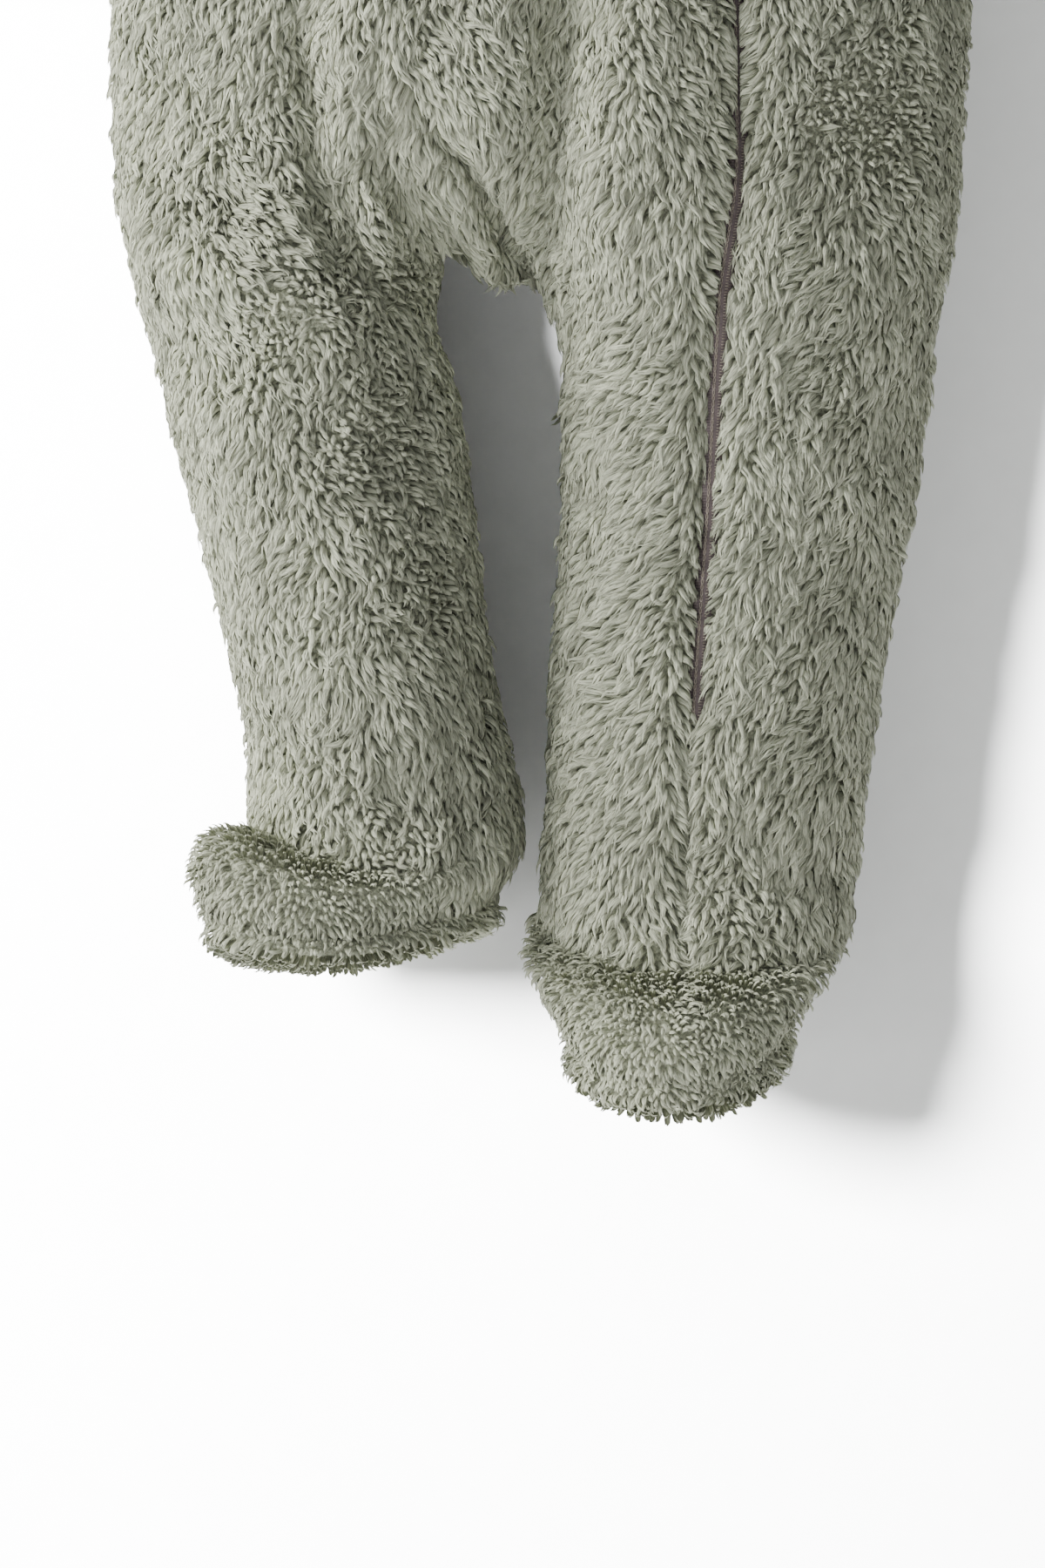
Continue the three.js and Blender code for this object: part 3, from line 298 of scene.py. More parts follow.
def outer_face(node):
    """The outer face of a cloth solid as one sheet, subdivided."""
    sheet = in_scene(node + "_shell", frame["nodes"][node].data.copy())
    sheet.data.materials.clear()
    edit(sheet, bpy.ops.mesh.remove_doubles, threshold=WELD)
    mesh = bmesh.new()
    mesh.from_mesh(sheet.data)
    across = [edge for edge in mesh.edges
              if any(abs(edge.calc_length() - wall) < WALL_EDGE_TOLERANCE for wall in WALL_EDGES)]
    rim = {face for edge in across for face in edge.link_faces}
    groups = islands([face for face in mesh.faces if face not in rim])
    groups.sort(key=lambda group: -sum(face.calc_area() for face in group))
    if node == "gusset":  # its two faces are alike, and the outer one looks down
        groups = sorted(groups[:2], key=lambda group: sum(face.normal.z * face.calc_area() for face in group))
    corners = {corner for face in groups[0] for corner in face.verts}
    rest = [face for face in mesh.faces if not corners.issuperset(face.verts)]
    bmesh.ops.delete(mesh, geom=rest, context="FACES")
    mesh.to_mesh(sheet.data)
    mesh.free()
    edit(sheet, bpy.ops.mesh.tris_convert_to_quads, face_threshold=math.radians(60),
         shape_threshold=math.radians(80))
    sheet.data.shade_smooth()
    finish_with(sheet, "SUBSURF", levels=1, render_levels=1, boundary_smooth="PRESERVE_CORNERS")
    return sheet


def points_and_normals(sheet):
    found = np.empty((2, len(sheet.data.vertices) * 3))
    for key, values in zip(("co", "normal"), found):
        sheet.data.vertices.foreach_get(key, values)
    return found.reshape(2, -1, 3)


def boundary(sheet):
    """Which of a sheet's points lie on its edges."""
    mesh = bmesh.new()
    mesh.from_mesh(sheet.data)
    found = np.array([vertex.is_boundary for vertex in mesh.verts])
    mesh.free()
    return found


SMOOTH_REACH = 7 * MM  # normals within it are averaged
SAME_SIDE = 0.35  # if they face alike at least this much
SEAM_REACH = 2.4 * MM  # edges within it are sewn together
CREASE_FACING = (0.0, 0.35)  # how far the cloth faces the front or the back where creases begin and are full
CREASE_END = (0.35, 0.65, 0.012)  # share of a crease at its ends, the share it gains, and the way it takes


def crease(points, normals):
    """How far the cloth rises at each point by its creases."""
    rise = np.zeros(len(points))
    place = points[:, [0, 2]]
    for side, width, height, path in CREASES:
        width, height, path = width / 1000, height / 1000, np.array(path) / 1000
        run = np.concatenate([[0], np.cumsum(np.linalg.norm(np.diff(path, axis=0), axis=1))])
        best, along = np.full(len(points), np.inf), np.zeros(len(points))
        for i in range(len(path) - 1):
            step = path[i + 1] - path[i]
            t = np.clip((place - path[i]) @ step / (step @ step), 0, 1)
            away = np.linalg.norm(place - path[i] - t[:, None] * step, axis=1)
            nearer = away < best
            best = np.where(nearer, away, best)
            along = np.where(nearer, run[i] + t * (run[i + 1] - run[i]), along)
        facing = {"front": -normals[:, 1], "back": normals[:, 1], "round": np.ones(len(points))}[side]
        ends = np.minimum(along, run[-1] - along)
        least, gain, way = CREASE_END
        fade = least + gain * ramp(ends, 0, way)
        rise += height * np.exp(-((best / width) ** 2)) * fade * ramp(facing, *CREASE_FACING)
    beside = np.abs(zip_distance(points)) / ZIP_VALLEY["width"]
    low = ZIP_LINE["z"][0]
    rise += ZIP_VALLEY["rise"] * np.exp(-beside**2) * ramp(-normals[:, 1], *CREASE_FACING) * ramp(
        points[:, 2], low - 0.01, low + 0.01)
    return rise


def settle(sheets, depth):
    """Sinks all the sheets together, so that sewn edges stay together."""
    parts = [points_and_normals(sheet) for sheet in sheets]
    points, normals = (np.concatenate(rows) for rows in zip(*parts))
    edge = np.concatenate([boundary(sheet) for sheet in sheets])
    near = KDTree(len(points))
    near_edge = KDTree(int(edge.sum()))
    for i, point in enumerate(points):
        near.insert(point, i)
        if edge[i]:
            near_edge.insert(point, i)
    near.balance()
    near_edge.balance()
    smooth = np.empty_like(normals)
    for i, point in enumerate(points):
        others = normals[[j for _, j, _ in near.find_range(point, SMOOTH_REACH)]]
        smooth[i] = others[others @ normals[i] > SAME_SIDE].sum(0)
    smooth = unit(smooth)
    shift = smooth.copy()
    for i in np.flatnonzero(edge):
        mean = smooth[[j for _, j, _ in near_edge.find_range(points[i], SEAM_REACH)]].mean(0)
        shift[i] = mean / max(mean @ mean, 0.5)
    points = points - (depth - crease(points, smooth))[:, None] * shift
    ends = np.cumsum([len(part[0]) for part in parts])
    for sheet, moved in zip(sheets, np.split(points, ends[:-1])):
        sheet.data.vertices.foreach_set("co", moved.ravel())
        sheet.data.update()


# The pile: locks of blades

ROOT_SEED, BLADE_SEED = 100, 200  # for the first piece of cloth

def triangles(sheet):
    sheet.data.calc_loop_triangles()
    corners = np.empty(len(sheet.data.loop_triangles) * 3, int)
    sheet.data.loop_triangles.foreach_get("vertices", corners)
    return corners.reshape(-1, 3)


def seen(points, normals):
    """1 where the photograph looks, 0 elsewhere."""
    return ramp(-normals[:, 1], -0.32, 0.05) * ramp(-points[:, 2], -PHOTO_TOP - 0.08, -PHOTO_TOP + 0.01)


def on_foot(name):
    return name.startswith(("foot", "sole"))


TRIES = 8  # for each lock wanted
CLOSEST = 0.86  # of the spacing


def scatter(name, sheet, seed):
    """Points on a sheet, each apart from the rest by the spacing that holds there."""
    pile = settings("pile")
    near_gap = pile.foot_spacing if on_foot(name) else pile.spacing
    rng = np.random.default_rng(seed)
    points, normals = points_and_normals(sheet)
    corners = triangles(sheet)
    a, b, c = (points[corners[:, i]] for i in range(3))
    area = np.linalg.norm(np.cross(b - a, c - a), axis=1) / 2
    middle, facing = (a + b + c) / 3, unit(normals[corners].sum(1))
    behind = pile.spacing_behind
    gap = behind + (near_gap - behind) * seen(middle, facing)
    wanted = area / gap**2
    total = int(wanted.sum() * TRIES)
    chosen = rng.choice(len(corners), total, p=wanted / wanted.sum())
    u, v = rng.random((2, total, 1))
    flip = u + v > 1
    u, v = np.where(flip, 1 - u, u), np.where(flip, 1 - v, v)
    at = a[chosen] + u * (b - a)[chosen] + v * (c - a)[chosen]
    n = normals[corners[chosen]]
    out = unit(n[:, 0] * (1 - u - v) + n[:, 1] * u + n[:, 2] * v)
    gap = behind + (near_gap - behind) * seen(at, out)
    grid, kept = {}, []
    reach = range(-1, 2)
    around = [(i, j, k) for i in reach for j in reach for k in reach]
    places = np.floor(at / behind).astype(int).tolist()
    spots = at.tolist()
    for i, (place, spot, near) in enumerate(zip(places, spots, (gap * CLOSEST).tolist())):
        x, y, z = spot
        limit = near * near
        for dx, dy, dz in around:
            close = grid.get((place[0] + dx, place[1] + dy, place[2] + dz))
            if close and any((x - p) ** 2 + (y - q) ** 2 + (z - r) ** 2 < limit for p, q, r in close):
                break
        else:
            grid.setdefault(tuple(place), []).append(spot)
            kept.append(i)
    return at[kept], out[kept]


def edge_points(sheet):
    """Points along a sheet's edges."""
    mesh = bmesh.new()
    mesh.from_mesh(sheet.data)
    found = [tuple(edge.verts[0].co.lerp(edge.verts[1].co, share))
             for edge in mesh.edges if edge.is_boundary for share in (0, 0.5)]
    mesh.free()
    return np.array(found)


def nearest(points, others, chunk=2000):
    """How far each point is from the nearest of some others."""
    parts = [np.sqrt(((points[i:i + chunk, None] - others[None]) ** 2).sum(2).min(1))
             for i in range(0, len(points), chunk)]
    return np.concatenate(parts) if parts else np.empty(0)


def zip_distance(points):
    """Sideways distance from the zip's line, positive to the wearer's left."""
    return points[:, 0] - np.interp(points[:, 2], ZIP_LINE["z"], ZIP_LINE["x"])


NO_ROW = 0.25  # the weight of 0 beside a table's rows


def by_place(table, column, points, front):
    """A table's column blended by place over the front, and the weight of its rows there."""
    total, weight = np.zeros(len(points)), np.full(len(points), NO_ROW)
    for row in table:
        x, z, reach = (value / 1000 for value in row[:3])
        away = np.hypot(points[:, 0] - x, points[:, 2] - z) / reach
        share = np.exp(-away**2) * front
        total += share * row[column]
        weight += share
    return total, weight


def on_front(normals):
    """1 where the cloth faces the front, down to 0 where it turns away."""
    return ramp(-normals[:, 1], -0.2, 0.4)


SLEEVE_LEAN = 35  # degrees, outwards down the sleeves


def nap(node, points, normals):
    """The direction in which the pile lies."""
    total, weight = by_place(NAP, LEAN, points, on_front(normals))
    lean = np.radians(total / weight)
    swirl = noise(points, 3, 0.06) * 0.30 + noise(points, 5, 0.022) * 0.28
    lean = lean + swirl
    if node.startswith("sleeve"):
        lean = lean + np.radians(SLEEVE_LEAN if node.endswith("left") else -SLEEVE_LEAN)
    along = np.stack([np.sin(lean), np.zeros(len(lean)), -np.cos(lean)], 1)
    if on_foot(node):
        middle = FOOT_MIDDLES[node.endswith("left")]
        away = unit((points - middle) * np.array([1, 0.4, 1]))
        if node.startswith("sole"):  # out from its middle, forwards and down
            away = unit((points - points.mean(0)) * np.array([1, 1, 0.3])) + np.array([0, -0.3, -0.4])
        turned = np.stack([swirl, np.zeros(len(swirl)), swirl * 0.4], 1)
        along = unit(away + np.array([0, -0.1, -0.45]) + turned * 0.8)
    along = along - normals * (along * normals).sum(1, keepdims=True)
    return unit(along)


# Tones, with their painted shade and light, are kept in strips of the UV map, with the way across a blade
# inside each strip
STRIPS = 32
CORNERS = 9
ROUNDING = math.radians(26)  # how far a blade's edges turn away
SOFTNESS = 0.5  # how much a blade faces as the cloth under it does
BLADE = np.array([[0, 1, 3], [0, 3, 2], [2, 3, 5], [2, 5, 4], [4, 5, 7], [4, 7, 6], [6, 7, 8]])
STATIONS = (0.0, 0.28, 0.55, 0.80, 1.0)  # along a blade from root to tip
WIDTHS = (0.70, 1.0, 0.95, 0.66, 0.0)  # and how wide it is there
ACROSS = np.array([0.1, 0.9] * 4 + [0.5])  # where a blade's corners lie across its strip
UP = np.repeat(STATIONS, 2)[:CORNERS] * 0.96 + 0.02  # and along it
PILE_LIMIT = 195000  # triangles in one mesh

FINE = 0.55  # locks less coarse than this are fine ones
FOOT_CURL = (0.3, 0.12)  # on the feet: how much of the curl is kept, and what is added
FOOT_RADIUS = 0.72
# painted light: how much lighter the pile is on the feet
FOOT_PAINTED_LIGHT = 0.10
SEAM_PAINTED_SHADE, FOOT_SEAM_PAINTED_SHADE = 0.28, 0.05  # painted shade in a seam's groove: how much darker the pile is at a seam, off the feet and on them
RELIEF_PAINTED_SHADING = 0.045  # painted light on ridges and painted shade in creases: how much lighter the pile is for each millimetre that the cloth rises
KEEP_OFF = (1.6, 1.0, 0.5)  # millimetres from the open zip on its left and right, and more from all of it


def style(node, roots, normals, sheet, rng):
    """How each lock lies, bends and looks: a value or a row for each root."""
    pile = settings("pile")
    count, foot = len(roots), on_foot(node)
    front = on_front(normals)
    coarse = 1 - seen(roots, normals)
    curl = by_place(CURL_AND_PAINTED_SHADE, CURL, roots, front)[0]
    curl = np.clip(curl + 0.35 * ramp(noise(roots, 11, 0.05), 0.2, 1), 0, 1)
    if foot:
        curl = curl * FOOT_CURL[0] + FOOT_CURL[1]
    off_zip = zip_distance(roots)
    zip_side = np.sign(off_zip)
    by_zip = (1 - ramp(np.abs(off_zip), *ZIP_DRAWS)) * front
    zip_open = 1 - ramp(roots[:, 2], ZIP_SHOWS_BELOW - 0.004, ZIP_SHOWS_BELOW + 0.012)
    seam = 1 - ramp(nearest(roots, edge_points(sheet)), *SEAM_FADE)

    # the way each lock lies: the nap, turned by curls and drawn over the zip
    along = nap(node, roots, normals)
    side = np.cross(normals, along)
    turn = rng.normal(0, 0.12, count) + curl * rng.normal(0, 0.55, count)
    along = along * np.cos(turn)[:, None] + side * np.sin(turn)[:, None]
    push = by_zip * zip_side * np.where(off_zip > 0, -0.35 - 0.5 * (1 - zip_open), -0.7)
    along = along + np.stack([push, np.zeros(count), np.zeros(count)], 1)
    along = unit(along - normals * (along * normals).sum(1, keepdims=True))

    length = pile.foot_length if foot else pile.length
    length = length * rng.uniform(0.78, 1.18, count) * (1 - 0.42 * curl) * (1 + 0.25 * coarse)
    clump = noise(roots, 21, 0.012)
    height = pile.depth * (0.96 + 0.20 * clump + rng.normal(0, 0.13, count))
    height = height * (1 - 0.30 * seam) * (1 + 0.10 * curl)
    length = length * (1 - 0.15 * seam)
    reach = np.sqrt(np.maximum(length**2 - height**2, (0.45 * length) ** 2)) * 0.92
    bend = 0.22 * noise(roots, 23, 0.010) + rng.normal(0, 0.12, count) + curl * rng.normal(0, 0.32, count)
    droop = rng.uniform(0.0, 0.30, count) + 0.18 * curl
    swing = rng.uniform(0.03, 0.12, count) * (1 + 0.9 * curl)
    phase = rng.uniform(0, 2 * np.pi, count)
    # each lock's tone: its own at random and by clumps, with painted shade and light by place, over creases
    # and ridges, at seams and on the feet
    tone = (0.5 + 0.11 * noise(roots, 31, 0.05) + 0.13 * clump + rng.normal(0, 0.10, count)
            - by_place(CURL_AND_PAINTED_SHADE, PAINTED_SHADE, roots, front)[0] + RELIEF_PAINTED_SHADING * crease(roots, normals) / MM
            - (FOOT_SEAM_PAINTED_SHADE if foot else SEAM_PAINTED_SHADE) * seam + (FOOT_PAINTED_LIGHT if foot else 0))
    thick = pile.radius * rng.uniform(0.75, 1.25, count) * (1 + 0.6 * coarse) * (1 - 0.2 * curl)
    return {
        "root": roots, "normal": normals, "ahead": along, "beside": np.cross(normals, along),
        "height": height, "reach": reach, "bend": bend, "droop": droop, "swing": swing, "phase": phase,
        "tone": tone, "thick": thick * (FOOT_RADIUS if foot else 1), "fine": coarse < FINE,
        "by_zip": by_zip, "zip_side": zip_side, "zip_open": zip_open,
    }


def clear_of_zip(points, of, rng):
    """Draws blades back from the zip: to a ragged line where it shows, and almost closed above."""
    side = of["zip_side"][:, None]
    held = (of["by_zip"] > 0.02) & (points[:, 0, 2] > ZIP_LINE["z"][0] + ZIP_COVERED_END)
    left, right, everywhere = KEEP_OFF
    keep_off = np.where(of["zip_side"] > 0, left, right) * of["zip_open"] + everywhere
    keep_off = keep_off * MM * rng.uniform(0.55, 1.35, len(points))
    off = zip_distance(points.reshape(-1, 3)).reshape(-1, CORNERS) * side
    points[:, :, 0] += np.where(held[:, None], np.maximum(keep_off[:, None] - off, 0), 0) * side


def grow(node, roots, normals, sheet, seed):
    """Blades for every lock: their points, facings, UV coordinates and the heights of their roots."""
    pile = settings("pile")
    rng = np.random.default_rng(seed)
    locks = style(node, roots, normals, sheet, rng)
    many = np.where(locks["fine"] & (not on_foot(node)), pile.blades, pile.blades_behind)
    lock = np.repeat(np.arange(len(roots)), many)
    total = len(lock)
    of = {key: values[lock] for key, values in locks.items()}
    rank = np.arange(total) - np.repeat(np.cumsum(many) - many, many)
    spread = np.radians(np.where(of["fine"], 46, 62))
    angle = (rank - (many[lock] - 1) / 2) * spread + rng.normal(0, 0.16, total)
    own = rng.uniform(0.80, 1.10, total)
    stray = rng.normal(0, 0.07, total) * of["reach"]
    half = np.where(of["fine"], 0.66, 0.74) * rng.uniform(0.75, 1.2, total)

    def axis(s):
        """Where the middle of each lock is at its share s of the way up."""
        up = of["height"] * ((s * (2 - s)).clip(0) ** 0.85 - of["droop"] * s**3)
        out = of["reach"] * (0.55 * s + 0.45 * s**1.8)
        swerve = of["swing"] * (np.sin(5.2 * s + of["phase"]) - np.sin(of["phase"]))
        sway = of["reach"] * (of["bend"] * s * s + swerve * (0.35 + 0.65 * s)) + stray * s * s
        return (of["root"] + of["normal"] * up[:, None] + of["ahead"] * out[:, None]
                + of["beside"] * sway[:, None])

    columns, facing = [], []
    turned, raised = np.sin(angle)[:, None], np.cos(angle)[:, None]
    for step, share in zip(STATIONS, WIDTHS):
        s = step * own
        forward = unit(axis(s + 0.05) - axis(np.maximum(s - 0.05, 0)))
        across = unit(np.cross(forward, of["normal"]))
        lift = np.cross(across, forward)
        girth = (of["thick"] * (0.8 + 0.8 * s - 1.42 * s * s)).clip(0.08 * MM)
        centre = axis(s) + girth[:, None] * (across * turned + lift * (raised - 0.4) * 0.9)
        for sign in (-1, 1) if share else (0,):
            edge = (across * raised - lift * turned) * (girth * half * share)[:, None] * sign
            columns.append(centre + edge)
            round_to = (angle + sign * ROUNDING)[:, None]
            rounded = across * np.sin(round_to) + lift * np.cos(round_to)
            facing.append(unit(rounded + of["normal"] * SOFTNESS))
    points = np.stack(columns, 1)
    clear_of_zip(points, of, rng)

    tone = np.clip(of["tone"] + rng.normal(0, 0.05, total), 0, 1)
    strip = np.clip((tone * STRIPS).astype(int), 0, STRIPS - 1)
    u = (strip[:, None] + ACROSS) / STRIPS
    uv = np.stack([u, np.broadcast_to(UP, u.shape)], 2)
    return points, np.stack(facing, 1), uv, of["root"][:, 2]


def blade_mesh(name, points, facing, uv):
    """One joined mesh of blades, with its UV maps."""
    total = len(points)
    faces = (np.arange(total)[:, None, None] * CORNERS + BLADE).reshape(-1, 3)
    mesh = bpy.data.meshes.new(name)
    mesh.vertices.add(total * CORNERS)
    mesh.vertices.foreach_set("co", points.astype(np.float32).ravel())
    mesh.loops.add(len(faces) * 3)
    mesh.loops.foreach_set("vertex_index", faces.astype(np.int32).ravel())
    mesh.polygons.add(len(faces))
    mesh.polygons.foreach_set("loop_start", np.arange(0, len(faces) * 3, 3, dtype=np.int32))
    mesh.update(calc_edges=True)
    mesh.shade_smooth()
    coordinates = uv.reshape(-1, 2)[faces.ravel()].astype(np.float32).ravel()
    for layer in ("pile", "OFBake"):
        mesh.uv_layers.new(name=layer).data.foreach_set("uv", coordinates)
    mesh.normals_split_custom_set_from_vertices(facing.reshape(-1, 3))
    return in_scene(name, mesh)


# Materials

def material(name):
    """A new material, its nodes and the shader among them."""
    made = bpy.data.materials.new(name)
    made.use_nodes = True
    return made, made.node_tree, made.node_tree.nodes["Principled BSDF"]


def node(tree, kind, **values):
    """A new shader node, with values for its inputs or its own settings."""
    made = tree.nodes.new("ShaderNode" + kind)
    for key, value in values.items():
        if key in made.inputs:
            made.inputs[key].default_value = value
        else:
            setattr(made, key, value)
    return made


def texture(tree, kind, **values):
    """A pattern laid out in the object's own space."""
    made = node(tree, kind, **values)
    place = node(tree, "TexCoord")
    tree.links.new(place.outputs["Object"], made.inputs["Vector"])
    return made.outputs["Fac"]


def math_node(tree, operation, *values):
    """A sum on sockets or numbers."""
    made = node(tree, "Math", operation=operation)
    for socket, value in zip(made.inputs, values):
        if isinstance(value, (int, float)):
            socket.default_value = value
        else:
            tree.links.new(value, socket)
    return made.outputs[0]


def map_range(tree, value, *limits):
    """A socket's value moved from one range to another."""
    made = node(tree, "MapRange")
    tree.links.new(value, made.inputs["Value"])
    for name, limit in zip(("From Min", "From Max", "To Min", "To Max"), limits):
        made.inputs[name].default_value = limit
    return made.outputs["Result"]


def colour_ramp(tree, value, stops):
    """A socket's value turned into colours."""
    made = node(tree, "ValToRGB")
    tree.links.new(value, made.inputs["Fac"])
    elements = made.color_ramp.elements
    while len(elements) < len(stops):
        elements.new(0.5)
    for element, (position, colour) in zip(elements, stops):
        element.position = position
        element.color = (*colour[:3], 1)
    return made.outputs["Color"]


def surface(tree, shader, colour, roughness, relief, strength, distance):
    """Gives a shader its colour, roughness and relief."""
    bump = node(tree, "Bump", Strength=strength, Distance=distance)
    tree.links.new(relief, bump.inputs["Height"])
    tree.links.new(bump.outputs["Normal"], shader.inputs["Normal"])
    tree.links.new(colour, shader.inputs["Base Color"])
    shader.inputs["Roughness"].default_value = roughness


def pile_colour_group():
    """Colour of the pile from the tone of a lock with its painted shade and light, a fine strand pattern and
    a place from root to tip, darker towards the root as painted shade.
    """
    made = bpy.data.node_groups.get("pile colour")
    if made:
        return made
    pile = settings("pile")
    made = bpy.data.node_groups.new("pile colour", "ShaderNodeTree")
    for name in ("Tone", "Strand", "Place"):
        made.interface.new_socket(name, in_out="INPUT", socket_type="NodeSocketFloat")
    made.interface.new_socket("Color", in_out="OUTPUT", socket_type="NodeSocketColor")
    entry, leave = made.nodes.new("NodeGroupInput"), made.nodes.new("NodeGroupOutput")
    # darker towards the root: painted shade deep in the pile
    stops = [(0.0, pile.root), (0.45, pile.middle), (1.0, pile.tip)]
    along = colour_ramp(made, entry.outputs["Place"], stops)
    light = map_range(made, entry.outputs["Tone"], 0.0, 1.0, 0.66, 1.30)
    strand = map_range(made, entry.outputs["Strand"], 0.35, 0.65, 0.56, 1.32)
    shade = node(made, "Mix", data_type="RGBA", blend_type="MULTIPLY", clamp_result=False)
    factor, first, second = (shade.inputs[i] for i in (0, 6, 7))
    factor.default_value = 1
    made.links.new(along, first)
    made.links.new(math_node(made, "MULTIPLY", light, strand), second)
    made.links.new(shade.outputs[2], leave.inputs["Color"])
    return made


def pile_colour(tree, tone, strand, place):
    """The pile's colour in a material."""
    group = node(tree, "Group")
    group.node_tree = pile_colour_group()
    for name, value in (("Tone", tone), ("Strand", strand), ("Place", place)):
        tree.links.new(value, group.inputs[name])
    return group.outputs["Color"]


STRANDS = (5.5, 1.3)  # across a blade and along it
STRIP_STEP = 7.31  # how far apart in the pattern one strip lies from the next


def pile_material():
    """Tufts of fine strands, each tuft with a tone of its own and painted shade and light by where it stands,
    darker towards the root as painted shade.
    """
    made, tree, shader = material("pile")
    uv = node(tree, "UVMap", uv_map="pile")
    parts = node(tree, "SeparateXYZ")
    tree.links.new(uv.outputs["UV"], parts.inputs[0])
    x, y = parts.outputs["X"], parts.outputs["Y"]
    strips = math_node(tree, "MULTIPLY", x, STRIPS)
    strip = math_node(tree, "FLOOR", strips)
    across = math_node(tree, "MULTIPLY", math_node(tree, "SUBTRACT", strips, strip), STRANDS[0])
    place = node(tree, "CombineXYZ")
    sideways = math_node(tree, "ADD", across, math_node(tree, "MULTIPLY", strip, STRIP_STEP))
    tree.links.new(sideways, place.inputs["X"])
    tree.links.new(math_node(tree, "MULTIPLY", y, STRANDS[1]), place.inputs["Y"])
    noise_node = node(tree, "TexNoise", Scale=1.0, Detail=1.0)
    tree.links.new(place.outputs[0], noise_node.inputs["Vector"])
    strand = noise_node.outputs["Fac"]
    colour = pile_colour(tree, math_node(tree, "DIVIDE", strip, STRIPS - 1), strand, y)
    surface(tree, shader, colour, 0.8, strand, 0.5, 0.2 * MM)
    shader.inputs["Specular IOR Level"].default_value = 0.2
    return made


def backing_painted_shade_material():
    """Knitted backing under the pile, dark as painted shade between the locks: matted fibres outside, fine
    loops inside.
    """
    made, tree, shader = material("backing")
    fibres = texture(tree, "TexNoise", Scale=900.0, Detail=3.0, Roughness=0.65)
    patches = texture(tree, "TexNoise", Scale=160.0, Detail=2.0)
    colour = pile_colour(tree, patches, fibres, map_range(tree, fibres, 0.3, 0.7, 0.12, 0.60))
    surface(tree, shader, colour, 0.95, fibres, 0.8, 0.8 * MM)
    return made


def knit_material():
    """The inside of the cloth: a fine plain knit."""
    made, tree, shader = material("knit")
    courses = texture(tree, "TexWave", bands_direction="Z", Scale=210.0, Distortion=1.2)
    wales = texture(tree, "TexWave", bands_direction="X", Scale=160.0, Distortion=1.2)
    loops = math_node(tree, "MULTIPLY", courses, wales)
    colour = colour_ramp(tree, loops, [(0.0, (0.22, 0.23, 0.17)), (1.0, (0.42, 0.43, 0.35))])
    surface(tree, shader, colour, 0.9, loops, 0.6, 0.4 * MM)
    return made


def woven_material(name, colour, scale):
    """Tape or thread: ribs across, with a little wear of tone."""
    made, tree, shader = material(name)
    ribs = texture(tree, "TexWave", bands_direction="Z", Scale=scale, Distortion=0.6)
    wear = texture(tree, "TexNoise", Scale=240.0, Detail=3.0)
    both = math_node(tree, "ADD", math_node(tree, "MULTIPLY_ADD", ribs, 0.5, 0.1),
                     math_node(tree, "MULTIPLY", wear, 0.6))
    dark, pale = [c * 0.55 for c in colour], [min(1, c * 1.5) for c in colour]
    colours = colour_ramp(tree, both, [(0.2, dark), (0.55, colour), (0.9, pale)])
    surface(tree, shader, colours, 0.7, ribs, 0.5, 0.2 * MM)
    return made


def metal_material():
    """Painted cast metal with brighter rubbed spots."""
    made, tree, shader = material("slider metal")
    rub = texture(tree, "TexNoise", Scale=420.0, Detail=4.0)
    colour = settings("zip").metal
    colours = colour_ramp(tree, rub, [(0.35, [c * 0.7 for c in colour]), (0.7, [c * 1.35 for c in colour])])
    tree.links.new(colours, shader.inputs["Base Color"])
    tree.links.new(map_range(tree, rub, 0.0, 1.0, 0.28, 0.5), shader.inputs["Roughness"])
    shader.inputs["Metallic"].default_value = 0.9
    return made


class ONESIE_OT_cloth(bpy.types.Operator):
    """Makes each sewn piece of cloth: its knitted backing and the pile that stands on it"""

    bl_idname = "onesie.cloth"
    bl_label = "Cloth pieces"

    def execute(self, context):
        pile = settings("pile")
        backing, knit, fur = backing_painted_shade_material(), knit_material(), pile_material()
        shells = [outer_face(name) for name in CUTS]
        settle(shells, pile.depth)
        for number, (name, shell) in enumerate(zip(CUTS, shells)):
            roots, normals = scatter(name, shell, ROOT_SEED + number)
            points, facing, uv, height = grow(name, roots, normals, shell, BLADE_SEED + number)
            order = np.argsort(-height, kind="stable")
            parts, most = [], PILE_LIMIT // len(BLADE)
            for start in range(0, len(order), most):
                blades = order[start:start + most]
                part = blade_mesh(f"{name}_pile_{len(parts) + 1}", points[blades], facing[blades], uv[blades])
                part.data.materials.append(fur)
                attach(part, "garment")
                parts.append(part)
            shell.data.materials.append(backing)
            shell.data.materials.append(knit)
            finish_with(shell, "SOLIDIFY", thickness=pile.backing, offset=-1, material_offset=1)
            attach(shell, "garment")
            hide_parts(name)
        return {"FINISHED"}


SMOOTHED_OVER = 15  # steps of the zip's line
STEPS_BEYOND = 16  # the line goes on past the solid's end, under the pile

# From the coil out to a tape's edge: sideways and height
TAPE_HALF = np.array([(1.6, 0.05), (3.2, -0.35), (4.4, -4.2), (5.8, -7.0), (9.0, -8.2)]) * MM
TAPE_THICKNESS = 0.7 * MM
TAPE_EVERY = 6  # steps of the line
HIDDEN_DEPTH = 2.2 * MM  # how much deeper the zip lies where the pile closes over it

COIL_WIDE, COIL_HIGH = 1.65 * MM, 0.42 * MM  # half its width and half its height
COIL_SWELL = 0.13

# A link of the chain stitch is two bowed threads: along the link in stitches, then bow and height in
# millimetres. Beside it a thread crosses the coil's edge: sideways and height in millimetres
LINK = ((-0.52, 0.06, 0.0), (-0.2, 0.34, 0.12), (0.2, 0.34, 0.12), (0.52, 0.06, 0.02))
LINK_ASIDE = -0.75
LINK_RADIUS = 0.19 * MM
CROSSING = ((0.95, -0.05), (1.45, 0.08), (2.05, -0.2))
CROSSING_RADIUS = 0.15 * MM


